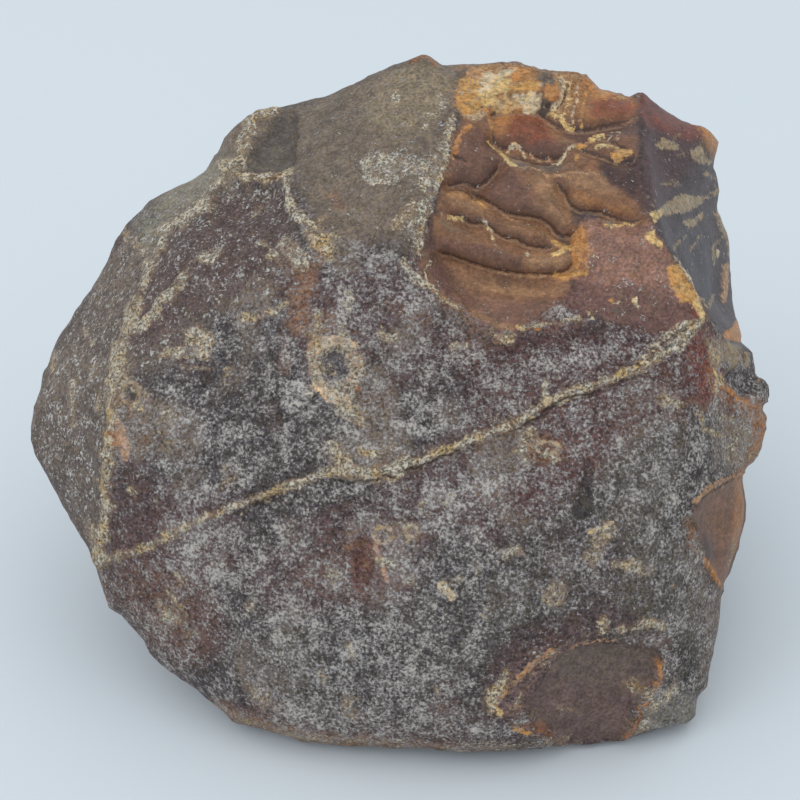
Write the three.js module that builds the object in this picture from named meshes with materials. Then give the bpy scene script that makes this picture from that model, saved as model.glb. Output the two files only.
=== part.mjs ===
import * as THREE from "three";
import { ConvexGeometry } from "three/addons/geometries/ConvexGeometry.js";
import { mergeVertices } from "three/addons/utils/BufferGeometryUtils.js";
import { ImprovedNoise } from "three/addons/math/ImprovedNoise.js";

// A rough, unopened agate nodule about 180 mm long: one solid stone that rests on its own flat.
// Millimetres, +Z up. The broad weathered face looks along -Y and up, the fresh break is at its upper right.
// Every vertex lies on a ray from the stone's centre, and each form below changes how far out it sits.

// Where the old, weathered faces meet: x, y, z.
const corners = {
  topEdge: [
    [-4, 49, 128], [6, 46, 134], [32, 48, 129], [45, 48, 127], [59, 42, 125], [79, 56, 109], [85, 58, 99],
  ],
  rightEdge: [
    [88, 32, 69], [92, 2, 61], [90, -9, 54], [89, -20, 45], [88, -28, 36], [78, -36, 22], [77, -43, 10],
  ],
  foot: [[73, -58, 3], [53, -68, 4], [19, -72, 6], [-5, -71, 6], [-29, -67, 5]],
  sole: [
    [70, -44, -5], [40, -55, -5], [0, -57, -5], [-26, -48, -5], [-33, -20, -5], [-32, 8, -5], [-8, 42, -5],
    [50, 42, -5], [74, 12, -5],
  ],
  leftEdge: [
    [-49, -58, 7], [-65, -47, 14], [-75, -38, 23], [-78, -29, 32], [-89, -17, 43], [-94, -6, 52],
    [-94, 2, 60], [-88, 14, 71], [-78, 24, 82], [-70, 32, 93], [-61, 37, 100], [-50, 38, 105],
  ],
  shoulderEdge: [[-42, 47, 114], [-33, 51, 116], [-18, 51, 120]],
  leftArris: [[-68, -36, 55], [-66, -31, 70], [-63, -25, 81], [-57, -10, 95], [-47, 4, 105], [-39, 16, 111]],
  upperFace: [[-26, 7, 114], [-21, -10, 109], [0, 21, 126], [7, -4, 119], [17, 29, 128], [49, 32, 125]],
  mainFace: [
    [-14, -32, 93], [7, -23, 106], [36, -29, 100], [-34, -39, 81], [0, -50, 75],
    [36, -49, 75], [-46, -47, 59], [18, -64, 52], [54, -55, 54], [69, -39, 68],
  ],
  underside: [
    [-23, -62, 41], [-42, -56, 30], [-26, -66, 14], [0, -70, 21], [36, -69, 29], [62, -58, 16], [68, -49, 40],
  ],
  rightArris: [[56, 9, 119], [59, -6, 110], [67, -17, 100], [54, -23, 103], [77, -16, 80]],
  back: [
    [-55, 37, 95], [-20, 59, 108], [40, 59, 104], [74, 59, 88], [-76, 25, 50], [-44, 59, 55], [12, 69, 62],
    [64, 63, 52], [88, 23, 45], [-50, 29, 14], [-10, 52, 6], [52, 52, 6], [82, 18, 8],
  ],
};

// The flat brown facet below the break: the plane through these three points.
const brownFacet = [[40, -5, 112], [67, -17, 97], [58, -6, 109]];

// Hollows sunk into the stone: facing is the way each one looks, wall the width of its sloping side.
const hollows = {
  scar: {
    facing: [0.1, -0.5, 0.86], depth: 3.2, wall: 8,
    outline: [
      [5, -16, 110], [5, -8, 115], [9, 5, 121], [14, 22, 126], [16, 36, 130], [20, 48, 130], [44, 48, 128],
      [56, 44, 125], [59, 26, 121], [58, 9, 118], [59, -4, 111], [46, -9, 111], [39, -18, 108],
      [30, -26, 103], [15, -25, 104],
    ],
  },
  darkFace: {
    facing: [0.85, -0.1, 0.5], depth: 4.2, wall: 14,
    outline: [
      [61, 34, 122], [59, 9, 118], [61, -5, 110], [69, -16, 98], [77, -13, 85], [92, 8, 76], [104, 40, 82],
      [86, 54, 98], [73, 42, 112],
    ],
  },
  rightChip: {
    facing: [0.85, -0.5, 0.1], depth: 2.8, wall: 7,
    outline: [
      [67, -43, 59], [75, -33, 58], [84, -20, 54], [92, -8, 50], [92, -14, 34], [83, -31, 26],
      [76, -40, 33], [70, -43, 46],
    ],
  },
  lowerHollow: {
    facing: [0.25, -0.95, -0.1], depth: 3.2, wall: 9,
    outline: [
      [29, -68, 19], [35, -68, 32], [45, -63, 37], [58, -58, 31], [67, -54, 21], [66, -56, 14],
      [57, -60, 10], [50, -64, 1], [36, -66, 2],
    ],
  },
  shoulderHollow: {
    facing: [-0.4, -0.35, 0.85], depth: 3.6, wall: 8,
    outline: [[-41, 22, 111], [-38, 34, 114], [-31, 46, 118], [-23, 42, 121], [-21, 26, 120], [-24, 14, 116]],
  },
  ledgeHollow: {
    facing: [-0.5, -0.4, 0.76], depth: 2.2, wall: 7,
    outline: [[-49, 14, 106], [-39, 16, 111], [-27, 10, 114], [-26, 2, 112], [-36, 0, 108], [-48, 5, 104]],
  },
  backChip: {
    facing: [-0.3, 0.95, 0.1], depth: 4.5, wall: 12,
    outline: [[-38, 60, 92], [-8, 66, 88], [-2, 68, 64], [-22, 64, 44], [-48, 56, 56], [-50, 54, 78]],
  },
  backFoot: {
    facing: [0.5, 0.8, -0.3], depth: 3.5, wall: 9,
    outline: [[40, 60, 40], [70, 52, 36], [84, 30, 22], [72, 30, 2], [50, 50, 2], [34, 58, 18]],
  },
};

// Round dents in the edges.
const dents = {
  shoulder: { at: [-49, 38, 108], radius: 17, depth: 3.2 },
  topLeft: { at: [-13, 43, 126], radius: 22, depth: 1.8 },
  besidePeak: { at: [11, 42, 132], radius: 7, depth: 1.6 },
  topNotch: { at: [55, 42, 125], radius: 12, depth: 5 },
  rightWaist: { at: [87, 20, 78], radius: 20, depth: 5 },
  aboveChip: { at: [89, -16, 53], radius: 8, depth: 2.2 },
  belowChip: { at: [80, -38, 20], radius: 13, depth: 2.6 },
  backSole: { at: [-20, 62, 20], radius: 26, depth: 4 },
  backRightSole: { at: [60, 20, -2], radius: 24, depth: 3 },
  leftBack: { at: [-86, 10, 40], radius: 18, depth: 2.5 },
  backTop: { at: [30, 66, 92], radius: 20, depth: 3 },
};

// Round pits with a raised rim.
const pits = {
  eye: { at: [-14, -32, 93], radius: 6, depth: 2.4, rim: 1 },
  leftEye: { at: [-63, -25, 80], radius: 3.5, depth: 1.8, rim: 0.4 },
  crustEye: { at: [-17, -11, 109], radius: 3.5, depth: 1.2, rim: 0.6 },
  arrisEye: { at: [-67, -29, 69], radius: 3.5, depth: 1.4, rim: 0.4 },
  middleRing: { at: [0, -56, 62], radius: 5, depth: 0.9, rim: 0.5 },
  rightRing: { at: [34, -47, 77], radius: 5, depth: 0.8, rim: 0.4 },
  paleSpot: { at: [10, -63, 52], radius: 3, depth: 0.8, rim: 0.3 },
};

// Creases under the rounded ledges of the break, listed left to right: the stone drops by depth just
// below each line and comes back over run.
const ledges = [
  { depth: 2.6, run: 12, line: [[6, -9, 108], [16, -10, 106], [25, -10, 104], [35, -11, 104], [40, -9, 106]]},
  { depth: 2.2, run: 8, line: [[11, -3, 114], [20, -3, 112], [25, -5, 110], [36, -6, 108]] },
  { depth: 2.8, run: 8, line: [[10, 5, 119], [16, 5, 117], [23, 0, 115], [32, -1, 113], [40, -4, 110]] },
  { depth: 2.6, run: 8, line: [[33, 10, 118], [37, 7, 117], [42, 1, 114], [48, 0, 113], [57, 0, 112]] },
  { depth: 2.2, run: 8, line: [[17, 10, 119], [23, 19, 121], [30, 18, 120], [38, 15, 120], [41, 19, 120]] },
  { depth: 1.8, run: 9, line: [[23, 30, 125], [34, 32, 124], [41, 26, 122], [50, 29, 122], [58, 31, 122]] },
];
const ledgeFoot = 1.8;
const ledgeEndShare = 0.2;

// The sharp edge between the broad faces and the dark one.
const darkEdge = [[59, 40, 124], [59, 24, 121], [58, 9, 118], [60, -5, 110], [69, -16, 98], [77, -17, 82]];

// The pale vein that rings the stone, slightly raised.
const vein = {
  height: 0.9, width: 2.2, closed: true,
  line: [
    [-74, -34, 35], [-59, -43, 48], [-37, -47, 63], [-23, -47, 70], [-14, -48, 73], [4, -48, 77],
    [15, -45, 80], [32, -40, 86], [47, -35, 90], [62, -26, 93], [69, -18, 94], [82, 10, 83], [84, 35, 68],
    [70, 58, 50], [40, 62, 34], [10, 60, 22], [-20, 50, 14], [-45, 35, 11], [-60, 10, 18], [-72, -15, 27],
  ],
};

// Raised crusts along the old edges.
const crusts = {
  leftArris: {
    height: 1.6, width: 4.5,
    line: [
      [-38, 18, 112], [-50, 1, 102], [-57, -10, 94], [-64, -17, 85], [-67, -29, 69], [-70, -34, 54],
      [-73, -34, 38],
    ],
  },
  shoulder: {
    height: 1.6, width: 3.5,
    line: [[-34, 45, 117], [-38, 31, 114], [-40, 22, 111], [-28, 13, 115]],
  },
  middle: {
    height: 1.1, width: 3.5,
    line: [[-28, 13, 115], [-26, 6, 114], [-23, -4, 111], [-21, -10, 109]],
  },
};

const centre = new THREE.Vector3(2, -1, 58);
const gridDetail = 20;
const gridPole = new THREE.Vector3(0.45, -0.15, 0.87).normalize();
const gridPull = 2.2;
const combWidth = 1.2;
const weathering = { rounds: 5, share: 0.55, giveBack: 0.56 };
const lumps = { height: 1.1, spacing: 27 };
const grit = { height: 0.45, spacing: 8 };
const sameDirection = 1e-5;
const stoneColour = 0x6b5a55;
const stoneRoughness = 0.75;

function toVector([x, y, z]) {
  return new THREE.Vector3(x, y, z);
}

// A sphere of unit directions, closer together near the grid pole.
function directionGrid() {
  const sphere = new THREE.IcosahedronGeometry(1, gridDetail);
  sphere.deleteAttribute("normal");
  sphere.deleteAttribute("uv");
  const merged = mergeVertices(sphere, sameDirection);
  const position = merged.attributes.position;
  const axis = new THREE.Vector3();
  for (let i = 0; i < position.count; i++) {
    const direction = new THREE.Vector3().fromBufferAttribute(position, i).normalize();
    const angle = Math.min(direction.angleTo(gridPole), Math.PI - sameDirection);
    const pulled = 2 * Math.atan(Math.tan(angle / 2) / gridPull);
    axis.crossVectors(gridPole, direction);
    if (axis.length() > sameDirection) direction.copy(gridPole).applyAxisAngle(axis.normalize(), pulled);
    position.setXYZ(i, direction.x, direction.y, direction.z);
  }
  return merged;
}

const stone = directionGrid();
const rays = [];
for (let i = 0; i < stone.attributes.position.count; i++) {
  rays.push(new THREE.Vector3().fromBufferAttribute(stone.attributes.position, i));
}
const reach = new Float64Array(rays.length);

// Adds change(point, ray) to the reach of every vertex, where point is the vertex as it stands.
function sculpt(change) {
  const point = new THREE.Vector3();
  rays.forEach((ray, i) => {
    point.copy(centre).addScaledVector(ray, reach[i]);
    reach[i] += change(point, ray);
  });
}

// How far along a ray from the centre a plane is met.
function reachOfPlane(plane, ray) {
  const along = plane.normal.dot(ray);
  return along > sameDirection ? -plane.distanceToPoint(centre) / along : Infinity;
}

// The convex stone spanned by the corners.
function span(points) {
  const hull = new ConvexGeometry(points.map(toVector)).attributes.position;
  const planes = [];
  for (let i = 0; i < hull.count; i += 3) {
    const [a, b, c] = [0, 1, 2].map((k) => new THREE.Vector3().fromBufferAttribute(hull, i + k));
    planes.push(new THREE.Plane().setFromCoplanarPoints(a, b, c));
  }
  rays.forEach((ray, i) => {
    reach[i] = Math.min(...planes.map((plane) => reachOfPlane(plane, ray)));
  });
}

// Rounds the edges: each vertex moves a share of the way to the mean reach of its neighbours, and every
// second time it is given back as much, so that the stone keeps its size.
function weather({ rounds, share, giveBack }) {
  const neighbours = rays.map(() => new Set());
  const index = stone.index.array;
  for (let t = 0; t < index.length; t += 3) {
    for (let k = 0; k < 3; k++) {
      const from = index[t + k];
      const to = index[t + ((k + 1) % 3)];
      neighbours[from].add(to);
      neighbours[to].add(from);
    }
  }
  for (let round = 0; round < 2 * rounds; round++) {
    const before = Float64Array.from(reach);
    const step = round % 2 ? -giveBack : share;
    neighbours.forEach((near, i) => {
      let sum = 0;
      for (const j of near) sum += before[j];
      reach[i] += step * (sum / near.size - before[i]);
    });
  }
}

function roughen({ height, spacing }) {
  const noise = new ImprovedNoise();
  sculpt(({ x, y, z }) => height * noise.noise(x / spacing, y / spacing, z / spacing));
}

function pathOf(line, closed = false) {
  const samplesPerPoint = 4;
  return new THREE.CatmullRomCurve3(line.map(toVector), closed).getPoints(line.length * samplesPerPoint);
}

// The nearest place of a path, measured across the ray: the distance and offset from it, which side the
// point lies on, and the share of the path's length.
function nearestOn(path, point, ray) {
  const farthest = 20;
  let best = { distance: Infinity };
  for (let i = 0; i + 1 < path.length; i++) {
    if (path[i].distanceTo(point) > farthest) continue;
    const step = path[i + 1].clone().sub(path[i]);
    const offset = point.clone().sub(path[i]);
    const along = THREE.MathUtils.clamp(step.dot(offset) / step.lengthSq(), 0, 1);
    offset.addScaledVector(step, -along);
    offset.addScaledVector(ray, -offset.dot(ray));
    const distance = offset.length();
    if (distance < best.distance) {
      const below = step.cross(ray).dot(offset) > 0;
      best = { distance, offset, below, share: (i + along) / (path.length - 1) };
    }
  }
  return best;
}

// Slides the vertices beside a line onto it, so that a crest or a lip runs along edges of the mesh, and
// with a foot, the next ones below onto a second line that far from the first.
function comb(line, { closed = false, foot = 0, width = combWidth } = {}) {
  const path = pathOf(line, closed);
  rays.forEach((ray, i) => {
    const point = centre.clone().addScaledVector(ray, reach[i]);
    const { distance, below, offset } = nearestOn(path, point, ray);
    const toFoot = foot > 0 && below && distance > width;
    if (distance > (toFoot ? foot + width : width)) return;
    point.addScaledVector(offset, toFoot ? foot / distance - 1 : -1).sub(centre);
    reach[i] = point.length();
    ray.copy(point).normalize();
  });
}

function cutPlane(points) {
  const plane = new THREE.Plane().setFromCoplanarPoints(...points.map(toVector));
  if (plane.distanceToPoint(centre) > 0) plane.negate();
  sculpt((point, ray) => Math.min(0, reachOfPlane(plane, ray) - point.distanceTo(centre)));
}

// How far inside a closed outline a point lies, both seen flat along Z; 0 outside it.
function inset(outline, p) {
  let inside = false;
  let nearest = Infinity;
  const step = new THREE.Vector2();
  const offset = new THREE.Vector2();
  outline.forEach((a, i) => {
    const b = outline[(i + 1) % outline.length];
    step.subVectors(b, a);
    offset.subVectors(p, a);
    if (a.y > p.y !== b.y > p.y && offset.x < (step.x * offset.y) / step.y) inside = !inside;
    const along = THREE.MathUtils.clamp(step.dot(offset) / Math.max(step.lengthSq(), sameDirection), 0, 1);
    nearest = Math.min(nearest, offset.addScaledVector(step, -along).length());
  });
  return inside ? nearest : 0;
}

// Sinks a hollow to its full depth inside its outline, easing in over the width of its wall.
function sink({ facing, depth, wall, outline }) {
  const outward = toVector(facing).normalize();
  const toFlat = new THREE.Quaternion().setFromUnitVectors(outward, new THREE.Vector3(0, 0, 1));
  const rim = pathOf(outline, true).map((p) => p.applyQuaternion(toFlat));
  sculpt((point, ray) => {
    if (ray.dot(outward) < 0) return 0;
    const flat = point.clone().applyQuaternion(toFlat);
    return -depth * THREE.MathUtils.smoothstep(inset(rim, flat), 0, wall);
  });
}

function dent({ at, radius, depth }) {
  const middle = toVector(at);
  sculpt((point) => -depth * (1 - THREE.MathUtils.smoothstep(point.distanceTo(middle), 0, radius)));
}

function pit({ at, radius, depth, rim }) {
  const middle = toVector(at);
  const rimSharpness = 8;
  sculpt((point) => {
    const r = point.distanceTo(middle) / radius;
    return rim * Math.exp(-rimSharpness * (r - 1) ** 2) - depth * (1 - THREE.MathUtils.smoothstep(r, 0, 1));
  });
}

function cutLedge({ depth, run, line }) {
  const path = pathOf(line);
  const lip = 0.2;
  sculpt((point, ray) => {
    const { distance, below, share } = nearestOn(path, point, ray);
    if (!below || distance < lip || distance > run) return 0;
    const fade = Math.min(1, Math.min(share, 1 - share) / ledgeEndShare);
    return -depth * fade * (1 - distance / run);
  });
}

function raise({ height, width, line, closed }) {
  const path = pathOf(line, closed);
  sculpt((point, ray) => {
    const { distance } = nearestOn(path, point, ray);
    return height * (1 - THREE.MathUtils.smoothstep(distance, 0, width));
  });
}

span(Object.values(corners).flat());
weather(weathering);
roughen(lumps);
ledges.forEach(({ line }) => comb(line, { foot: ledgeFoot }));
comb(darkEdge);
comb(vein.line, { closed: true, width: vein.width });
cutPlane(brownFacet);
Object.values(hollows).forEach(sink);
Object.values(dents).forEach(dent);
ledges.forEach(cutLedge);
raise(vein);
Object.values(crusts).forEach(raise);
Object.values(pits).forEach(pit);
roughen(grit);

// The stone's own flat is at z = 0, and the middle of its box is on the Z axis.
rays.forEach((ray, i) => {
  const { x, y, z } = centre.clone().addScaledVector(ray, reach[i]);
  stone.attributes.position.setXYZ(i, x, y, Math.max(0, z));
});
stone.computeBoundingBox();
const middle = stone.boundingBox.getCenter(new THREE.Vector3());
stone.translate(-middle.x, -middle.y, 0);
stone.computeVertexNormals();

const nodule = new THREE.Mesh(
  stone,
  new THREE.MeshStandardMaterial({ color: stoneColour, roughness: stoneRoughness, metalness: 0 }),
);
nodule.name = "agate_nodule";

const part = new THREE.Group();
part.add(nodule);
export default part;
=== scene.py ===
import math
import bmesh
import bpy
import numpy as np
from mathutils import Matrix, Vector, noise
from mathutils.bvhtree import BVHTree


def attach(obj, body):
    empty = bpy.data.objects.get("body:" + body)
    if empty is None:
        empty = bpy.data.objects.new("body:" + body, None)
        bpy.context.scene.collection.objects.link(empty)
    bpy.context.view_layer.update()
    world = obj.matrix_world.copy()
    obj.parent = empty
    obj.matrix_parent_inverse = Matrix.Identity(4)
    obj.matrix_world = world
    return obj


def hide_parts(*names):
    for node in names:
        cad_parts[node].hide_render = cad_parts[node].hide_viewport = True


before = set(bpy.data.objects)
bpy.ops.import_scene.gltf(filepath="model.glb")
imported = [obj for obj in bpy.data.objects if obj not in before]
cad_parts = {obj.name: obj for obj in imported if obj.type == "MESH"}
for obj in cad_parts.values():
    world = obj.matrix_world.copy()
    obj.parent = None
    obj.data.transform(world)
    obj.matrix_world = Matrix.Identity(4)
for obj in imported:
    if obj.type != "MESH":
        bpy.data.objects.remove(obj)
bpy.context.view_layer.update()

# An agate nodule as it came out of the ground: a grainy rind, a pale vein, crusted edges and a waxy break.
# Sizes are metres. Places on the stone are pixels of the 800 x 800 picture, x to the right and y down.
mm = 0.001


# small helpers

def unit(vectors):
    return vectors / np.linalg.norm(vectors, axis=-1, keepdims=True)


def smoothStep(low, high, value):
    share = np.clip((value - low) / (high - low), 0, 1)
    return share * share * (3 - 2 * share)


def curveThrough(points, closed=False, steps=4):  # a smooth curve through given points
    points = np.array(points, float)
    count = len(points)
    if count < 3:
        return points
    found = []
    for i in range(count if closed else count - 1):
        around = [(i + k) % count if closed else min(max(i + k, 0), count - 1) for k in (-1, 0, 1, 2)]
        a, b, c, d = points[around]
        for t in np.arange(steps) / steps:
            bend = 2 * a - 5 * b + 4 * c - d + t * (3 * (b - c) + d - a)
            found.append(b + 0.5 * t * (c - a + t * bend))
    found.append(points[0] if closed else points[-1])
    return np.array(found)


def nearestOn(places, path):  # distance to a path, its side (positive is right of it), share of its length
    best = np.full(len(places), np.inf)
    side = np.zeros(len(places))
    share = np.zeros(len(places))
    reach = np.concatenate([[0], np.cumsum(np.linalg.norm(np.diff(path, axis=0), axis=1))])
    for i, (a, b) in enumerate(zip(path[:-1], path[1:])):
        step = b - a
        length = max(step @ step, 1e-12)
        offset = places - a
        along = np.clip(offset @ step / length, 0, 1)
        here = a + along[:, None] * step
        distance = np.hypot(*(places - here).T)
        closer = distance < best
        best[closer] = distance[closer]
        side[closer] = np.sign(step[0] * offset[closer, 1] - step[1] * offset[closer, 0])
        share[closer] = (reach[i] + along[closer] * (reach[i + 1] - reach[i])) / reach[-1]
    return best, side, share


def insideOf(places, outline):  # distance inside a closed outline, negative outside it
    path = curveThrough(outline, closed=True)
    crossings = np.zeros(len(places), int)
    for a, b in zip(path[:-1], path[1:]):
        level = (a[1] > places[:, 1]) != (b[1] > places[:, 1])
        if a[1] != b[1]:
            x = a[0] + (places[:, 1] - a[1]) * (b[0] - a[0]) / (b[1] - a[1])
            crossings += level & (places[:, 0] < x)
    distance = nearestOn(places, path)[0]
    return np.where(crossings % 2 == 1, distance, -distance)


def noiseAt(places, spacing, octaves=1, seed=0.0):  # noise of about -1 to 1, one value for each place
    shift = Vector((seed * 17.3, seed * 5.1, seed * 11.7))
    if octaves == 1:
        return np.array([noise.noise(Vector(p) + shift) for p in places / spacing])
    return np.array([noise.fractal(Vector(p) + shift, 1.0, 2.0, octaves) for p in places / spacing])


# camera, lights and floor

print("camera and studio")
camera = {
    "elevation": math.radians(35),
    "distance": 0.48,
    "target": (-0.00002, -0.00555, 0.0648),
    "picture": 800,             # pixels across the picture
    "pixelWidth": 0.2446 * mm,  # what one pixel covers at the target's distance
    "sensorWidth": 36,
}
cameraRight = np.array([1.0, 0, 0])
cameraUp = np.array([0, math.sin(camera["elevation"]), math.cos(camera["elevation"])])
cameraBack = np.array([0, -math.cos(camera["elevation"]), math.sin(camera["elevation"])])
cameraTarget = np.array(camera["target"])
cameraPlace = cameraTarget + camera["distance"] * cameraBack


def picturePlaces(points):  # where points of the stone are seen in the picture
    offset = points - cameraTarget
    nearer = 1 / (1 - offset @ cameraBack / camera["distance"]) / camera["pixelWidth"]
    middle = camera["picture"] / 2
    return np.stack([middle + offset @ cameraRight * nearer, middle - offset @ cameraUp * nearer], axis=1)


def makeCamera():
    data = bpy.data.cameras.new("pictureCamera")
    data.sensor_width = camera["sensorWidth"]
    data.lens = data.sensor_width * camera["distance"] / (camera["picture"] * camera["pixelWidth"])
    seen = bpy.data.objects.new("pictureCamera", data)
    seen.location = cameraPlace
    seen.rotation_euler = Vector(-cameraBack).to_track_quat("-Z", "Y").to_euler()
    bpy.context.scene.collection.objects.link(seen)
    bpy.context.scene.camera = seen


studio = {
    "skyColor": (0.80, 0.87, 0.93),
    "skyStrength": 0.85,
    "floorColor": (0.77, 0.81, 0.84),
    "floorSize": 12,
    "floorRoughness": 0.9,
    "topLight": {"place": (0.0, -0.25, 1.45), "size": 2.2, "power": 4.8, "color": (1.0, 0.99, 0.97)},
    "sideLight": {"place": (-1.1, -0.7, 1.0), "size": 0.9, "power": 2.6, "color": (0.93, 0.97, 1.0)},
}


def makeLight(name, place, size, power, color):
    data = bpy.data.lights.new(name, "AREA")
    data.shape = "DISK"
    data.size = size
    data.energy = power
    data.color = color
    lamp = bpy.data.objects.new(name, data)
    lamp.location = place
    lamp.rotation_euler = (Vector(camera["target"]) - Vector(place)).to_track_quat("-Z", "Y").to_euler()
    bpy.context.scene.collection.objects.link(lamp)


def makeStudio():
    world = bpy.data.worlds.new("softSky")
    world.use_nodes = True
    sky = world.node_tree.nodes["Background"]
    sky.inputs["Color"].default_value = (*studio["skyColor"], 1)
    sky.inputs["Strength"].default_value = studio["skyStrength"]
    bpy.context.scene.world = world
    for name in ("topLight", "sideLight"):
        makeLight(name, **studio[name])
    half = studio["floorSize"] / 2
    mesh = bpy.data.meshes.new("floor")
    corners = [(-half, -half, 0), (half, -half, 0), (half, half, 0), (-half, half, 0)]
    mesh.from_pydata(corners, [], [(0, 1, 2, 3)])
    floor = bpy.data.objects.new("floor", mesh)
    bpy.context.scene.collection.objects.link(floor)
    paper = bpy.data.materials.new("floorPaper")
    paper.use_nodes = True
    shader = paper.node_tree.nodes["Principled BSDF"]
    shader.inputs["Base Color"].default_value = (*studio["floorColor"], 1)
    shader.inputs["Roughness"].default_value = studio["floorRoughness"]
    mesh.materials.append(paper)


makeCamera()
makeStudio()
bpy.context.scene.view_settings.view_transform = "Standard"

# the stone's form: a fine skin pulled out to the frame's solid

print("skin of the stone")
skin = {
    "centre": (0.0022, 0.0008, 0.058),
    "steps": 96,                 # triangles along each edge of the starting icosahedron
    "pole": (0.28, -0.5, 0.82),  # the mesh is finest this way
    "pull": 2.3,                 # how strongly it is drawn together there
    "mergeDistance": 0.001 * mm,
    "evenRounds": 1,             # smoothing of the solid before it is followed
    "breakRounds": 14,           # and on its break, whose ledges are carved again below
    "breakMargin": 6,            # pixels round the break that are smoothed with it
    "divisions": 2,
    "middle": (400, 405),        # where the outline is seen from when it is fitted
    "fitRounds": 3,
    "sectors": 360,              # directions in which the stone's edge is compared with the outline
    "sideSamples": 20,           # points taken on each side of the outline
    "broadSpread": 9,            # sectors over which the broad part of a change is averaged
    "broadFade": 0.80,           # share of the way out at which the broad part sets in
    "fineFade": 0.955,           # and the rest of it
    "hiddenAt": -0.25,           # cosines of the angle to the camera between which marks fade in
    "seenAt": 0.05,
}
breakOutline = [
    (425, 285), (420, 250), (432, 225), (440, 190), (448, 150), (462, 118), (455, 90), (480, 64), (530, 66),
    (588, 75), (632, 97), (640, 120), (641, 185), (650, 222), (600, 216), (580, 224), (574, 262),
    (560, 300), (505, 330), (462, 305),
]
darkFaceOutline = [
    (641, 95), (641, 185), (650, 222), (690, 288), (720, 337), (740, 350), (790, 330), (770, 120),
    (700, 80),
]


def solidSkin():  # the frame's solid, merged and rounded, as a tree for rays
    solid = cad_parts["agate_nodule"]
    body = bmesh.new()
    body.from_mesh(solid.data)
    bmesh.ops.remove_doubles(body, verts=body.verts, dist=skin["mergeDistance"])
    places = picturePlaces(np.array([v.co for v in body.verts]))
    inBreak = insideOf(places, breakOutline) > -skin["breakMargin"]
    for turn in range(skin["breakRounds"]):
        moved = [v for v, near in zip(body.verts, inBreak) if near or turn < skin["evenRounds"]]
        bmesh.ops.smooth_vert(body, verts=moved, factor=0.5,
                              use_axis_x=True, use_axis_y=True, use_axis_z=True)
    mesh = bpy.data.meshes.new("roundedSolid")
    body.to_mesh(mesh)
    body.free()
    rounded = bpy.data.objects.new("roundedSolid", mesh)
    bpy.context.scene.collection.objects.link(rounded)
    rounding = rounded.modifiers.new("rounding", "SUBSURF")
    rounding.levels = skin["divisions"]
    tree = BVHTree.FromObject(rounded, bpy.context.evaluated_depsgraph_get())
    bpy.data.objects.remove(rounded)
    return tree


def directionGrid():  # directions and triangles of an even sphere, then drawn together near the pole
    body = bmesh.new()
    bmesh.ops.create_icosphere(body, subdivisions=1, radius=1)
    bmesh.ops.subdivide_edges(body, edges=body.edges, cuts=skin["steps"] - 1, use_grid_fill=True)
    bmesh.ops.triangulate(body, faces=body.faces)
    directions = unit(np.array([v.co for v in body.verts]))
    triangles = np.array([[v.index for v in face.verts] for face in body.faces])
    body.free()
    pole = unit(np.array(skin["pole"]))
    cosine = np.clip(directions @ pole, -1, 1)
    angle = np.arccos(cosine)
    drawn = 2 * np.arctan(np.tan(angle / 2) / skin["pull"])
    across = directions - cosine[:, None] * pole
    across /= np.maximum(np.linalg.norm(across, axis=1, keepdims=True), 1e-9)
    return np.cos(drawn)[:, None] * pole + np.sin(drawn)[:, None] * across, triangles


def normalsOf(points, triangles):
    a, b, c = (points[triangles[:, k]] for k in range(3))
    faces = np.cross(b - a, c - a)
    total = np.zeros_like(points)
    for k in range(3):
        for axis in range(3):
            total[:, axis] += np.bincount(triangles[:, k], faces[:, axis], len(points))
    return unit(total)


solidTree = solidSkin()
directions, triangles = directionGrid()
centre = Vector(skin["centre"])
points = np.array([solidTree.ray_cast(centre, Vector(d))[0] for d in directions])
print("   ", len(points), "points,", len(triangles), "triangles")

# the outline as seen from the camera, clockwise from the peak
outline = [
    (425, 53), (445, 64), (480, 63), (515, 61), (530, 66), (548, 70), (575, 72), (588, 75), (600, 88),
    (615, 92), (632, 97), (640, 91), (652, 100), (668, 112), (685, 122), (702, 125), (712, 133), (720, 145),
    (716, 160), (717, 180), (720, 190), (718, 210), (722, 222), (728, 240), (730, 260), (732, 290),
    (735, 315), (742, 342), (752, 350), (755, 375), (766, 392), (762, 410), (762, 430), (758, 450),
    (745, 472), (750, 500), (749, 520), (742, 548), (732, 575), (722, 590), (718, 630), (708, 685),
    (700, 695), (697, 715), (690, 722), (660, 728), (625, 742), (590, 747), (540, 748), (500, 752),
    (470, 752), (420, 748), (390, 748), (340, 745), (300, 742), (260, 728), (235, 722), (215, 705),
    (185, 682), (150, 655), (143, 640), (120, 612), (108, 607), (103, 590), (95, 560), (80, 535), (60, 500),
    (45, 475), (35, 455), (31, 440), (32, 420), (36, 400), (45, 370), (60, 335), (80, 305), (100, 275),
    (107, 260), (115, 240), (130, 220), (150, 200), (160, 195), (190, 180), (205, 172), (215, 158),
    (222, 140), (235, 125), (250, 115), (275, 108), (300, 103), (330, 95), (360, 80), (385, 68), (405, 60),
]


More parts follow.
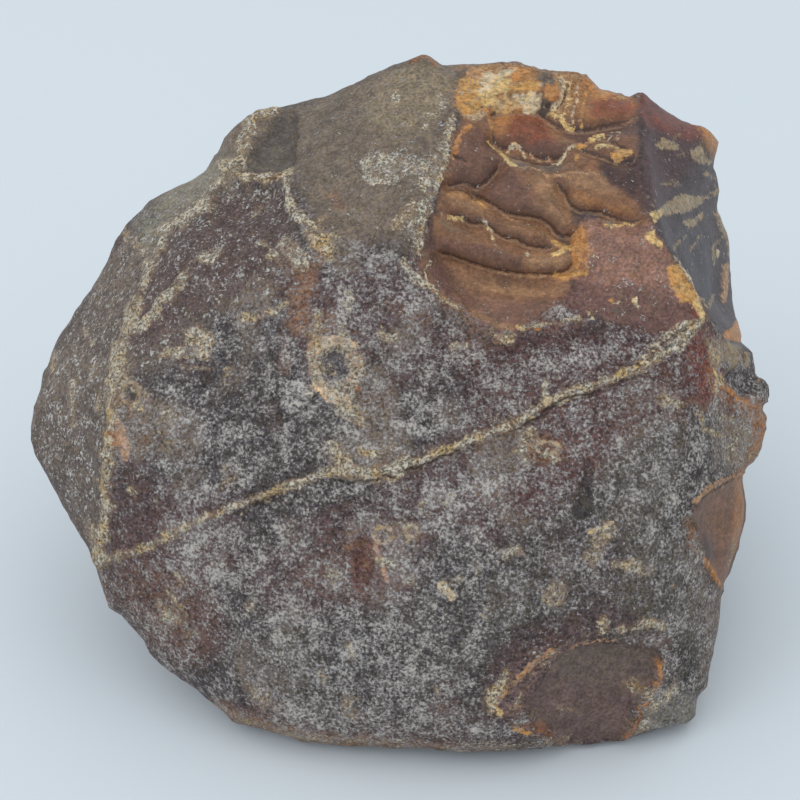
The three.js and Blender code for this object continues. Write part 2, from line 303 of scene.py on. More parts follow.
def fitOutline(points):  # moves what is seen near the stone's edge onto the outline, sideways to the camera
    middle = np.array(skin["middle"], float)
    sectors = skin["sectors"]
    rays = (np.arange(sectors) + 0.5) / sectors * 2 * np.pi - np.pi
    wanted = np.array(outline + outline[:1], float) - middle
    steps = np.linspace(0, 1, skin["sideSamples"], endpoint=False)
    samples = np.array([a + (b - a) * t for a, b in zip(wanted[:-1], wanted[1:]) for t in steps])
    bearing = np.arctan2(samples[:, 1], samples[:, 0])
    order = np.argsort(bearing)
    target = np.interp(rays, bearing[order], np.hypot(*samples[order].T), period=2 * np.pi)
    spread = skin["broadSpread"]
    window = np.hanning(2 * spread + 1)
    for _ in range(skin["fitRounds"]):
        offset = picturePlaces(points) - middle
        radius = np.hypot(*offset.T)
        angle = np.arctan2(offset[:, 1], offset[:, 0])
        sector = np.minimum(((angle + np.pi) / (2 * np.pi) * sectors).astype(int), sectors - 1)
        edge = np.zeros(sectors)
        np.maximum.at(edge, sector, radius)
        change = target / edge - 1
        wrapped = np.concatenate([change[-spread:], change, change[:spread]])
        broad = np.convolve(wrapped, window / window.sum(), "valid")
        share = radius / np.interp(angle, rays, edge, period=2 * np.pi)
        push = 0
        for part, fade in ((broad, "broadFade"), (change - broad, "fineFade")):
            fading = smoothStep(skin[fade], 1, share)
            push = push + np.interp(angle, rays, part, period=2 * np.pi) * fading
        shift = offset * push[:, None] * camera["pixelWidth"]
        shift *= (1 - (points - cameraTarget) @ cameraBack / camera["distance"])[:, None]
        points = points + shift[:, :1] * cameraRight - shift[:, 1:] * cameraUp
    return points


points = fitOutline(points)
normals = normalsOf(points, triangles)
places = picturePlaces(points)
towardCamera = np.einsum("ij,ij->i", unit(cameraPlace - points), normals)
seen = smoothStep(skin["hiddenAt"], skin["seenAt"], towardCamera)

# the relief: the break's rounded ledges, hollows, ridges, pits and the fine roughness

print("relief")
# heights and depths are millimetres; reaches, widths and ranges across an edge are pixels
relief = {
    "ragged": 3,                      # how far edges wander for one unit of noise
    "strokeCore": 0.25,               # share of a stroke's width that is full
    "breadth": (0.25, 1.5),           # narrowest and widest that its own width becomes
    "leastRidge": 0.6,                # share of its height that a ridge always keeps
    "ledgeEnds": 0.12,                # share of a ledge's length over which it dies out
    "ledgeEdge": (-1.2, 2.2),
    "ledgeLip": 0.6,                  # how much of its depth the rounding above it takes
    "ledgeMargin": 4,
    "flakeHeight": 0.3,
    "flakeEdge": (-0.5, 1.5),
    "flakeReach": 6.0,
    "crustGrowth": 2.5,               # how much larger the top crust's flakes are
    "crustFlakeFade": 3,
    "eyeRing": 2.4,                   # half width of the ring round a small eye
    "ringPoints": 13,
    "veinPoint": (0.0022, -0.0372, 0.0735),  # the vein's plane, for the sides out of the camera's view
    "veinNormal": (0.362, -0.453, -0.815),
    "veinHeight": 0.12,
    "veinLeast": 0.4,                 # its least half width
    "crackWidth": 1.6,
    "crackDepth": 0.35,
    "breakSmoothness": 0.75,          # how much of the roughness the break lacks
    "breakEdge": (-3, 4),
    "plateHeight": 0.6,
    "plateStretch": (1.5, 0.7, 0.7),  # plates and fibres run up and back
    "plateFade": 4,
}
# noise that varies things over the stone: middle value, swing, spacing in millimetres, octaves, seed
variation = {
    "wanderAcross": (0, 1, 2.2, 2, 21), "wanderDown": (0, 1, 2.2, 2, 22),
    "breadth": (0.85, 0.9, 4, 2, 23),
    "ridgeHeight": (0, 0.9, 3, 2, 2),
    "veinWidth": (0.9, 1.2, 5, 3, 12),  # millimetres
    "lumps": (0, 0.45, 9, 3, 0),        # millimetres
    "grain": (0, 0.17, 1.8, 2, 3),      # millimetres
    "plates": (20, 2.4, 9, 3, 4),
    "purpleRind": (0, 1, 26, 3, 5), "oliveRind": (0, 1, 22, 2, 6), "rustStain": (0, 1, 14, 3, 7),
    "tone": (0.95, 0.35, 5, 2, 8),
    "frost": (0.74, 0.26, 5, 3, 9),
    "frostSpread": (0, 0.22, 5, 3, 26),
    "specks": (0.4, 0.35, 12, 2, 10),
    "patchyCrust": (1, 0.9, 3.5, 3, 25),
    "scatteredCrust": (0, 1, 11, 3, 11),
    "warmth": (0.35, 0.3, 20, 1, 13),
    "veinCrust": (-0.4, 0.35, 3, 3, 15),
    "veinWarmth": (0.35, 0.7, 3.5, 2, 16),
}


def varying(name, stretch=(1, 1, 1)):
    middle, swing, spacing, octaves, seed = variation[name]
    return middle + swing * noiseAt(points * np.array(stretch), spacing * mm, octaves, seed)


wander = np.stack([varying("wanderAcross"), varying("wanderDown")], axis=1)
raggedPlaces = places + relief["ragged"] * wander
breadth = np.clip(varying("breadth"), *relief["breadth"])


def around(path, reach):  # the seen points within reach pixels of a path's box
    path = np.array(path, float)
    near = (places > path.min(0) - reach).all(1) & (places < path.max(0) + reach).all(1)
    return np.flatnonzero(near & (seen > 0))


def stroke(line, width):  # 1 on a line, fading out at its width in pixels
    found = np.zeros(len(points))
    near = around(line, relief["breadth"][1] * width + relief["ragged"])
    distance = nearestOn(raggedPlaces[near], curveThrough(line))[0] / breadth[near]
    found[near] = (1 - smoothStep(relief["strokeCore"] * width, width, distance)) * seen[near]
    return found


def inset(outline, reach=30, beyond=-99.0):  # pixels inside an outline, negative outside it
    found = np.full(len(points), beyond)
    near = around(outline, reach)
    found[near] = insideOf(raggedPlaces[near], outline)
    return found


def area(outline, fade):  # 1 inside an outline, fading out across its edge
    return smoothStep(-fade, fade, inset(outline)) * seen


# line: the crease, left to right; depth: millimetres that the stone drops below it; run: pixels until it is
# back; lip: pixels of rounding above it
breakLedges = {
    "crustFoot": {"depth": 2.2, "run": 18, "lip": 8, "line": [
        (480, 122), (490, 114), (505, 108), (522, 108), (540, 110), (550, 117), (562, 124), (585, 126),
        (605, 122), (631, 117), (641, 113)]},
    "crustUpper": {"depth": 1.2, "run": 9, "lip": 6, "line": [
        (494, 98), (502, 101), (512, 97), (524, 100), (536, 98), (542, 91)]},
    "crustFacet": {"depth": 1.5, "run": 8, "lip": 6, "line": [
        (544, 101), (550, 106), (558, 106), (564, 99), (568, 90), (570, 82)]},
    "crustLeft": {"depth": 1.0, "run": 8, "lip": 5, "line": [
        (460, 104), (468, 110), (478, 109), (486, 102), (490, 92)]},
    "lens": {"depth": 2.8, "run": 14, "lip": 10, "line": [
        (492, 126), (496, 137), (503, 143), (512, 144), (520, 142), (527, 147), (536, 152), (550, 153),
        (562, 152), (569, 146)]},
    "flake": {"depth": 1.6, "run": 10, "lip": 7, "line": [
        (575, 146), (590, 150), (604, 154), (618, 159), (632, 159), (636, 152)]},
    "upperFlake": {"depth": 1.2, "run": 8, "lip": 6, "line": [
        (578, 140), (590, 137), (603, 134), (618, 143), (634, 148)]},
    "bulge": {"depth": 2.6, "run": 14, "lip": 14, "line": [
        (447, 176), (452, 182), (466, 178), (476, 181), (484, 178), (491, 172), (498, 163), (501, 156)]},
    "innerRidge": {"depth": 0.7, "run": 10, "lip": 6, "line": [
        (508, 152), (516, 158), (530, 157), (545, 161), (556, 159), (566, 153)]},
    "bigCushion": {"depth": 3.2, "run": 20, "lip": 14, "line": [
        (466, 181), (477, 186), (484, 193), (492, 199), (503, 207), (515, 211), (527, 212), (542, 215),
        (552, 222), (558, 230), (568, 232), (576, 228), (580, 220)]},
    "rightCushion": {"depth": 3.2, "run": 18, "lip": 14, "line": [
        (551, 178), (560, 182), (566, 188), (570, 198), (577, 204), (586, 207), (600, 208), (613, 213),
        (626, 217), (648, 219)]},
    "leftCushion": {"depth": 2.4, "run": 16, "lip": 12, "line": [
        (443, 212), (452, 213), (464, 215), (474, 221), (484, 221), (488, 223), (497, 231), (507, 236),
        (518, 238), (527, 243), (540, 245), (552, 244), (558, 238)]},
    "tongue": {"depth": 3.0, "run": 30, "lip": 13, "line": [
        (432, 247), (440, 251), (451, 253), (466, 258), (481, 264), (497, 268), (515, 271), (536, 272),
        (553, 271), (565, 268), (573, 260), (576, 248)]},
}


def carveLedge(line, depth, run, lip):  # the height change of one ledge
    found = np.zeros(len(points))
    near = around(line, run + relief["ledgeMargin"])
    distance, side, share = nearestOn(places[near], curveThrough(line))
    ends = smoothStep(0, relief["ledgeEnds"], np.minimum(share, 1 - share))
    below = distance * np.where(side > 0, 1, -1)
    edge = smoothStep(*relief["ledgeEdge"], below)
    drop = edge * np.clip(1 - below / run, 0, 1)
    drop += (1 - edge) * relief["ledgeLip"] * np.clip(1 + below / lip, 0, 1) ** 2
    found[near] = -depth * mm * ends * seen[near] * drop
    return found


# depth: millimetres; wall: pixels of its steep edge; share: how much of the depth the steep edge takes;
# bowl: pixels over which the rest sinks
hollows = {
    "shoulder": {"depth": 2.4, "wall": 3, "share": 0.5, "bowl": 16, "outline": [
        (275, 115), (296, 113), (298, 136), (295, 152), (289, 168), (270, 172), (243, 174), (238, 167),
        (248, 155), (257, 142), (268, 129)]},
    "belowShoulder": {"depth": 1.6, "wall": 5, "share": 0.3, "bowl": 14, "outline": [
        (222, 186), (240, 181), (262, 183), (282, 182), (288, 198), (282, 214), (256, 222), (226, 226),
        (206, 214), (208, 198)]},
    "rightChip": {"depth": 1.3, "wall": 3, "share": 0.55, "bowl": 18, "outline": [
        (692, 509), (704, 495), (719, 487), (737, 475), (760, 470), (770, 510), (760, 560), (730, 590),
        (719, 585), (708, 567), (704, 547), (697, 529)]},
    "lowerHollow": {"depth": 3.0, "wall": 3, "share": 0.65, "bowl": 18, "outline": [
        (527, 706), (533, 696), (545, 678), (556, 663), (571, 652), (583, 647), (598, 645), (617, 645),
        (640, 648), (657, 652), (663, 661), (657, 671), (648, 690), (634, 707), (629, 721), (622, 744),
        (580, 752), (545, 735)]},
    "lowerShelf": {"depth": 1.0, "wall": 2.5, "share": 0.7, "bowl": 6, "outline": [
        (633, 636), (650, 633), (668, 633), (674, 640), (670, 648), (650, 647), (634, 644)]},
    "eye": {"depth": 1.0, "wall": 5, "share": 0.4, "bowl": 10, "outline": [
        (319, 352), (332, 349), (344, 355), (348, 368), (340, 379), (328, 378), (319, 366)]},
    "leftEye": {"depth": 1.2, "wall": 4, "share": 0.5, "bowl": 6, "outline": [
        (125, 388), (132, 386), (138, 393), (136, 402), (128, 403), (124, 396)]},
    "sidePocket": {"depth": 2.4, "wall": 4, "share": 0.5, "bowl": 10, "outline": [
        (724, 372), (736, 366), (748, 372), (752, 385), (748, 402), (736, 396), (726, 386)]},
}

# height in millimetres, width in pixels
ridges = {
    "arris": (0.9, 9, [(234, 173), (216, 186), (202, 204), (181, 220), (166, 229), (161, 246), (152, 264),
        (143, 282), (138, 298), (128, 330), (117, 350), (114, 385), (110, 440), (105, 500), (98, 560)]),
    "innerArris": (0.6, 7, [(220, 252), (199, 261), (188, 273), (177, 286), (159, 305), (141, 327),
        (120, 343)]),
    "shoulderRim": (1.0, 8, [(275, 111), (262, 114), (253, 124), (250, 137), (244, 152), (232, 166),
        (224, 166)]),
    "shoulderLip": (0.9, 5, [(224, 170), (240, 177), (262, 177), (280, 176), (291, 170)]),
    "seam": (0.6, 6, [(286, 180), (289, 199), (296, 212), (304, 220), (315, 228), (322, 240)]),
    "eyeRim": (0.4, 9, [(306, 352), (319, 341), (336, 338), (351, 343), (362, 356), (366, 370), (360, 386),
        (350, 400), (335, 404), (322, 394), (314, 374), (306, 352)]),
    "facetTop": (0.6, 5, [(575, 262), (576, 240), (582, 220), (598, 215), (611, 221), (634, 220),
        (650, 224)]),
    "darkEdge": (0.7, 5, [(641, 97), (641, 140), (641, 188), (650, 221), (668, 252), (690, 287), (706, 318),
        (720, 337)]),
    "chipRim": (0.5, 6, [(744, 474), (735, 474), (718, 484), (703, 494), (691, 508), (695, 530), (703, 550),
        (710, 570), (722, 588)]),
    "knob": (1.4, 9, [(758, 380), (760, 396)]),
    "sideBulge": (1.4, 22, [(738, 410), (750, 425), (750, 445)]),
}

veinLine = [(97, 563), (120, 556), (150, 545), (200, 520), (240, 505), (280, 488), (300, 480), (340, 472),
            (380, 472), (420, 460), (470, 440), (510, 425), (545, 405), (580, 390), (610, 380), (640, 365),
            (670, 345), (700, 325)]
veinCracks = [
    [(540, 416), (547, 409), (558, 403), (571, 399), (580, 396), (592, 394)],
    [(652, 350), (668, 338), (692, 324)], [(630, 368), (655, 356), (672, 346)],
    [(330, 481), (352, 482), (375, 480), (395, 475)], [(505, 433), (525, 424), (540, 416)],
    [(592, 394), (610, 387), (630, 376)], [(400, 472), (430, 463), (460, 450)],
    [(240, 512), (262, 502), (285, 493)],
]
creases = [
    [(641, 118), (641, 150), (642, 180)], [(690, 522), (694, 530)], [(678, 526), (684, 530)],
    [(452, 186), (468, 190), (478, 196)], [(449, 153), (456, 158), (466, 160)],
    [(534, 698), (546, 680), (557, 665), (571, 654), (590, 647), (617, 646), (640, 650)],
    [(693, 510), (704, 497), (719, 489), (738, 476)],
]
topCrust = [
    (462, 118), (455, 92), (478, 66), (515, 62), (560, 70), (588, 77), (582, 100), (560, 112), (540, 108),
    (505, 105), (485, 116),
]
# thin crisp flakes and plates: tone, half width in pixels of a line or 0 for an outline, places
flakes = [
    # the crust above the break
    ("gold", 0, [(460, 82), (470, 79), (477, 84), (474, 92), (462, 92)]),
    ("gold", 0, [(460, 95), (476, 93), (480, 100), (477, 108), (466, 111), (459, 104)]),
    ("cream", 0, [(484, 77), (492, 73), (495, 80), (491, 87), (485, 89), (482, 83)]),
    ("paleTan", 0, [(468, 72), (479, 69), (480, 77), (472, 80)]),
    ("yellowCrust", 0, [(494, 82), (506, 80), (508, 90), (498, 94), (493, 90)]),
    ("yellowCrust", 0, [(480, 94), (492, 92), (494, 99), (484, 102)]),
    ("gold", 0, [(512, 88), (524, 84), (538, 84), (538, 90), (524, 93), (513, 92)]),
    ("amber", 0, [(511, 74), (518, 70), (528, 70), (530, 76), (520, 79), (512, 79)]),
    ("beige", 0, [(496, 100), (508, 96), (518, 98), (517, 106), (505, 110), (494, 108)]),
    ("cream", 0, [(519, 95), (536, 93), (540, 104), (528, 108), (519, 104)]),
    ("slate", 0, [(540, 76), (550, 76), (552, 84), (542, 84)]),
    # painted shade in a recess between the crust's blocks
    ("recessShade", 0, [(540, 100), (551, 99), (550, 108), (546, 113), (541, 110)]),
    ("amber", 0, [(544, 88), (556, 86), (560, 93), (554, 100), (546, 99)]),
    ("rust", 0, [(557, 94), (563, 96), (558, 102), (553, 101)]),
    ("cream", 1.5, [(560, 76), (564, 86), (561, 98), (556, 108)]),
    ("yellowCrust", 1.4, [(570, 82), (570, 96), (566, 110), (564, 118)]),
    ("cream", 1.4, [(578, 88), (576, 102), (572, 114), (574, 122)]),
    ("gold", 1.4, [(586, 92), (584, 106), (581, 116), (582, 124)]),
    ("waxBrown", 1.2, [(574, 90), (573, 104), (569, 116)]),
    ("yellowCrust", 2.2, [(551, 112), (558, 116), (566, 122), (574, 126)]),
    ("amber", 3.5, [(588, 82), (597, 92), (606, 98)]), ("gold", 1.8, [(602, 92), (612, 95), (624, 99)]),
    ("cream", 1.3, [(462, 94), (475, 92), (490, 91)]), ("cream", 1.1, [(498, 101), (513, 97), (530, 102)]),
    ("cream", 1.0, [(500, 75), (510, 72), (522, 73)]), ("cream", 1.0, [(524, 95), (532, 91), (541, 84)]),
    ("waxBrown", 0.9, [(541, 80), (543, 95), (541, 108)]),
    ("waxBrown", 0.9, [(492, 74), (492, 84), (495, 92)]),
    ("waxBrown", 0.9, [(496, 96), (508, 94), (523, 94), (538, 93)]),
    ("amber", 1.2, [(508, 107), (522, 106), (536, 105)]),
    # strings and flakes round the lens
    ("amber", 2.6, [(487, 110), (490, 118), (492, 127)]),
    ("yellowCrust", 2.4, [(500, 146), (504, 152), (508, 160), (516, 166)]),
    ("yellowCrust", 1.5, [(490, 138), (496, 144), (501, 149)]),
    ("cream", 1.2, [(508, 148), (513, 143), (520, 142), (524, 146), (526, 154)]),
    ("paleTan", 1.1, [(531, 149), (536, 154), (546, 155), (551, 153)]),
    ("cream", 1.3, [(552, 160), (560, 156), (568, 149), (573, 147)]),
    ("paleTan", 1.8, [(570, 146), (580, 144), (590, 138)]),
    ("yellowCrust", 2.6, [(590, 137), (597, 133), (604, 131)]), ("gold", 2.2, [(576, 147), (585, 145)]),
    ("yellowCrust", 2.2, [(597, 146), (606, 145), (618, 146)]),
    ("gold", 0, [(612, 153), (617, 149), (624, 147), (631, 149), (633, 153), (629, 157), (621, 159),
        (614, 158)]),
    ("waxBrown", 0, [(575, 157), (577, 151), (585, 152), (595, 157), (600, 162), (597, 168), (585, 170),
        (577, 168)]),
    ("gold", 0, [(574, 158), (577, 151), (582, 153), (581, 161), (576, 163)]),
    ("amber", 3.2, [(452, 156), (456, 149), (458, 142)]),
    ("amber", 2.2, [(459, 138), (463, 132), (470, 126)]),
    ("cream", 0.9, [(608, 142), (611, 134), (613, 128)]),
    ("cream", 0.9, [(616, 142), (619, 134), (620, 128)]),
    # the cushions' pale rims
    ("yellowCrust", 2.6, [(451, 216), (463, 216)]), ("gold", 1.8, [(474, 192), (480, 197), (486, 202)]),
    ("cream", 1.4, [(488, 226), (492, 229), (494, 238)]), ("cream", 1.6, [(483, 219), (487, 221)]),
    ("paleTan", 1.5, [(520, 169), (530, 168), (540, 172), (548, 177)]),
    ("paleTan", 1.2, [(552, 176), (565, 174), (582, 173), (600, 174)]),
    ("paleTan", 1.4, [(504, 211), (511, 216), (522, 219)]),
    ("paleTan", 1.2, [(500, 271), (520, 273), (545, 273)]), ("cream", 1.0, [(527, 247), (528, 256)]),
    ("gold", 0, [(552, 240), (556, 236), (562, 240), (572, 243), (577, 247), (573, 251), (566, 250),
        (559, 248)]),
    ("yellowCrust", 0, [(555, 250), (566, 249), (561, 256), (552, 255)]),
    ("gold", 2.2, [(552, 272), (562, 274), (575, 272), (586, 273)]),
    ("amber", 2.6, [(574, 238), (574, 252), (575, 266)]),
    # the facet
    ("yellowCrust", 1.5, [(606, 224), (616, 222), (626, 220), (636, 221)]),
    ("yellowCrust", 0, [(645, 233), (652, 231), (658, 240), (663, 249), (656, 248), (648, 241)]),
    ("gold", 0, [(667, 268), (672, 266), (678, 266), (686, 282), (695, 299), (691, 303), (681, 303),
        (675, 296), (669, 280)]),
    ("cream", 0, [(630, 299), (638, 297), (637, 304), (640, 309), (633, 305)]),
    ("amber", 0, [(607, 300), (614, 297), (615, 303), (610, 304)]),
    ("cream", 1.5, [(613, 303), (619, 302)]), ("slate", 2.4, [(613, 310), (619, 311)]),
    ("cream", 1.3, [(588, 312), (593, 318)]), ("cream", 1.6, [(594, 256), (598, 257)]),
    ("cream", 1.4, [(674, 258), (684, 276), (698, 304)]),
    ("yellowCrust", 2.6, [(694, 302), (698, 310), (703, 320)]), ("deepRed", 2.6, [(694, 312), (698, 318)]),
    ("amber", 1.2, [(520, 328), (530, 327), (540, 330)]), ("yellowCrust", 1.8, [(517, 326), (524, 329)]),
    # the dark face
    ("bandCream", 0, [(655, 148), (660, 139), (668, 140), (679, 145), (680, 149), (668, 151)]),
    ("bandCream", 1.2, [(673, 137), (680, 135)]), ("bandCream", 1.5, [(677, 157), (684, 154), (691, 151)]),
    ("bandCream", 0, [(690, 152), (700, 145), (704, 150), (706, 157), (714, 160), (712, 163), (700, 164),
        (692, 158)]),
    ("bandCream", 3.0, [(717, 136), (722, 146), (721, 153)]),
    ("amber", 2.0, [(696, 127), (705, 131), (712, 138)]), ("bandCream", 1.7, [(661, 184), (663, 184)]),
    ("bandCream", 2.0, [(666, 184), (672, 181)]), ("bandCream", 1.7, [(674, 184), (680, 184)]),
    ("bandCream", 2.6, [(704, 172), (710, 178), (716, 180)]),
    ("bandCream", 0, [(661, 208), (670, 200), (678, 195), (684, 194), (692, 196), (704, 197), (703, 202),
        (694, 209), (684, 213), (675, 214), (665, 216)]),
    ("yellowCrust", 0, [(649, 214), (655, 211), (664, 207), (663, 214), (657, 221), (653, 222)]),
    ("bandCream", 2.6, [(707, 197), (713, 194), (719, 190)]),
    ("bandCream", 0, [(681, 222), (688, 219), (695, 218), (700, 212), (704, 214), (702, 219), (698, 221),
        (696, 226), (688, 227)]),
    ("bandCream", 1.3, [(690, 250), (696, 241), (701, 235)]),
    ("bandCream", 1.3, [(673, 250), (678, 243), (686, 236)]),
    ("bandCream", 1.4, [(714, 264), (713, 250), (716, 242), (722, 238)]),
    ("cream", 1.6, [(718, 251), (716, 258)]),
    ("bandCream", 2.4, [(716, 212), (720, 224), (728, 240), (730, 256)]),
    ("paleTan", 3.4, [(726, 266), (725, 282), (723, 300)]), ("bandCream", 2.0, [(712, 296), (708, 308)]),
    ("bandCream", 1.4, [(700, 302), (706, 309)]),
    ("amber", 0, [(721, 336), (730, 328), (737, 319), (741, 330), (743, 342), (733, 342)]),
    ("bandCream", 2.6, [(728, 348), (733, 360), (730, 372)]), ("bandCream", 2.6, [(745, 354), (746, 366)]),
    ("bandCream", 2.4, [(757, 382), (764, 380)]), ("yellowCrust", 1.5, [(714, 370), (717, 384)]),
    ("amber", 2.8, [(722, 386), (732, 393), (742, 402)]),
    # the left arris
    ("pinkCrust", 5, [(118, 424), (124, 442), (126, 456)]),
    ("beige", 2.6, [(111, 410), (107, 455), (104, 500)]), ("rust", 3.5, [(112, 430), (115, 442)]),
    ("flintBlue", 3.5, [(130, 391), (132, 397)]),
    # the pink and white of the large eye
    ("eyeCream", 6, [(315, 352), (323, 344), (337, 341), (351, 346)]),
    ("pinkCrust", 6, [(356, 356), (358, 368), (352, 380)]),
    ("eyeCream", 6, [(318, 384), (328, 395), (342, 400), (348, 408)]),
    ("pinkCrust", 4, [(312, 344), (312, 358), (316, 370)]),
    ("rust", 2.2, [(344, 387), (352, 386), (358, 389)]),
    ("cream", 1.2, [(330, 362), (336, 368), (332, 374)]),
    ("pinkCrust", 2.6, [(375, 546), (381, 562), (387, 580)]),
    ("cream", 4, [(441, 585), (447, 590), (452, 596)]),
    ("cream", 2.4, [(590, 532), (604, 528), (612, 523)]), ("gold", 6, [(317, 243), (326, 244)]),
    ("eyeCream", 3, [(312, 237), (320, 249), (330, 252)]),
    # the rims of the chips
    ("paleTan", 3, [(494, 704), (507, 690), (522, 674), (537, 660), (552, 650)]),
    ("yellowCrust", 2.6, [(488, 696), (492, 706), (500, 714)]),
    ("paleTan", 1.6, [(570, 648), (590, 642), (618, 640)]),
    ("amber", 2.6, [(705, 560), (711, 572), (721, 584)]),
    ("paleTan", 2.4, [(738, 475), (720, 481), (706, 489), (693, 502)]),
    ("gold", 2.2, [(514, 728), (522, 732), (532, 734)]),
    ("amber", 2.2, [(660, 664), (660, 678), (651, 694), (640, 710)]),
]
smallEyes = [(548, 448, 11, 6), (383, 535, 9, 8), (411, 531, 6, 6), (131, 394, 9, 11)]  # middle, half sizes
crustFlakes = [(455, 118), (452, 92), (478, 64), (515, 60), (553, 68), (554, 112), (505, 108)]
for x, y, wide, high in smallEyes:
    turn = np.linspace(0, 2 * np.pi, relief["ringPoints"])
    ring = np.stack([x + wide * np.cos(turn), y + high * np.sin(turn)], axis=1)
    flakes.append(("flakeRing", relief["eyeRing"], ring))
flakeInside = np.full(len(points), -relief["flakeReach"])  # pixels inside the nearest flake, negative outside
flakeNumber = np.zeros(len(points), int)
for number, (_, half, shape) in enumerate(flakes):
    near = around(shape, half + relief["flakeReach"])
    if half:
        inside = half - nearestOn(places[near], curveThrough(shape))[0]
    else:
        inside = insideOf(places[near], shape)
    better = inside > flakeInside[near]
    flakeInside[near[better]] = inside[better]
    flakeNumber[near[better]] = number
flakeInside += relief["crustGrowth"] * area(crustFlakes, relief["crustFlakeFade"])

height = relief["flakeHeight"] * mm * smoothStep(*relief["flakeEdge"], flakeInside) * seen
for ledge in breakLedges.values():
    height += carveLedge(**ledge)
for hollow in hollows.values():
    within = inset(hollow["outline"])
    steep = hollow["share"] * smoothStep(0, hollow["wall"], within)
    bowl = (1 - hollow["share"]) * smoothStep(0, hollow["bowl"], within)
    height -= hollow["depth"] * mm * seen * (steep + bowl)
roughLine = relief["leastRidge"] + np.abs(varying("ridgeHeight"))
for rise, width, line in ridges.values():
    height += rise * mm * stroke(line, width) * roughLine
veinDistance = nearestOn(places, curveThrough(veinLine))[0] * camera["pixelWidth"] / mm  # millimetres
onPlane = np.abs((points - np.array(relief["veinPoint"])) @ unit(np.array(relief["veinNormal"]))) / mm
veinDistance = np.where(seen > 0.5, veinDistance, onPlane)
veinWidth = varying("veinWidth")
veinRise = np.exp(-(veinDistance / np.maximum(veinWidth, relief["veinLeast"])) ** 2)
height += relief["veinHeight"] * mm * veinRise * roughLine
# crack and crease lines: grooves in the relief, and painted shade along them in the material
cracks = np.zeros(len(points))
for crack in veinCracks + creases:
    cracks = np.maximum(cracks, stroke(crack, relief["crackWidth"]))
height -= relief["crackDepth"] * mm * cracks

inBreak = insideOf(places, breakOutline)
inDarkFace = insideOf(places, darkFaceOutline)
smoothPart = smoothStep(*relief["breakEdge"], np.maximum(inBreak, inDarkFace)) * seen
weathered = 1 - relief["breakSmoothness"] * smoothPart
height += varying("lumps") * mm * weathered
height += varying("grain") * mm * weathered
flakyPart = area(topCrust, relief["plateFade"])
platePhase = varying("plates", relief["plateStretch"]) % 1
height += relief["plateHeight"] * mm * (platePhase - 0.5) * flakyPart
points = points + normals * height[:, None]
points[:, 2] = np.maximum(points[:, 2], 0)

# colours laid on the stone

print("colours")
covering = {
    "plateShade": 0.5,             # how dark a plate ends
    "plateEnds": (0.03, 0.15),
    "noCrust": -0.5,               # the cover at which no crust grows
    "scattered": 0.8,              # added in the scattered patches
    "scatteredRange": (0.35, 0.8),
    "topCrust": -0.34,             # the cover on the crust above the break
    "plateTops": 0.5,              # added on the high part of its plates
    "plateTopRange": (0.6, 0.98),
    "topWarmth": 0.2,
    "topWarmthFade": 5,
    "breakFade": 3,
    "patchy": (0.3, 1.15),         # least and most of a crust line's growth
    "vein": 0.65,                  # cover on the vein, over its own width
    "veinSpread": 1.1,
    "veinLeast": 0.3,              # millimetres, as are the vein's reaches
    "veinCore": 0.5,
    "veinCoreReach": 2.2,
    "veinReach": 8,
    "veinWarmthReach": 2.0,
    "veinFrostLoss": 0.2,
    "veinFrostReach": 2.5,
    "leftVeinLoss": 0.15,          # how much thinner the vein is at its left end
    "leftVein": (230, 330),        # pixels from the left between which it thickens
    "groundShare": 0.6,            # how strongly the skin under crust is tinted
    "groundRange": (-0.15, 0.45),
    "creaseBeyond": 20.0,          # pixels, as are the next two
    "creaseReach": 12,
    "creaseEndLoss": 8,
    "creaseEnds": 0.1,             # share of a crease's length
}
# display tones of the stone's parts, 0 to 255
tones = {
    "darkRind": (66, 61, 62), "purpleRind": (84, 68, 68), "oliveRind": (116, 105, 93),
    "paleOlive": (136, 124, 104), "greenRind": (138, 138, 126), "redRind": (88, 62, 60),
    "greenGrey": (66, 65, 62), "rustStain": (126, 98, 80), "facetBrown": (146, 112, 98),
    "facetPurple": (112, 84, 78), "deepRed": (116, 66, 54), "slate": (96, 91, 87),
    # the darkest purple on the next line is a painted shade tone
    "leftRind": (111, 101, 94), "waxPurple": (98, 72, 66), "deepPurple": (66, 50, 52),
    "waxBrown": (128, 94, 70), "waxTan": (154, 120, 90), "waxOrange": (166, 116, 70),
    "waxRed": (124, 70, 50), "rust": (150, 100, 64), "yellowCrust": (214, 190, 136),
    "cream": (210, 196, 166), "flint": (78, 70, 73), "flintPurple": (82, 62, 64), "flintBlue": (78, 76, 82),
    "hollowOlive": (104, 93, 86), "hollowPurple": (104, 87, 83), "bandCream": (158, 144, 118),
    "crustGround": (158, 134, 110), "amber": (184, 134, 84), "gold": (196, 154, 94),
    "paleTan": (178, 144, 112), "pinkCrust": (186, 158, 138), "eyeCream": (222, 200, 172),
    "lipPink": (124, 103, 96), "flakeRing": (176, 162, 140), "chipBrown": (118, 90, 74),
    # the recess tone on the next line is painted shade
    "beige": (190, 162, 118), "recessShade": (66, 60, 58), "crustGold": (170, 134, 96),
}
toneGain = np.array((1.17, 1.1, 1.02))  # the stone's own colour over the tone the studio's light gives it


def albedo(name):
    share = np.array(tones[name]) / 255
    return np.where(share < 0.04045, share / 12.92, ((share + 0.055) / 1.055) ** 2.4) * toneGain


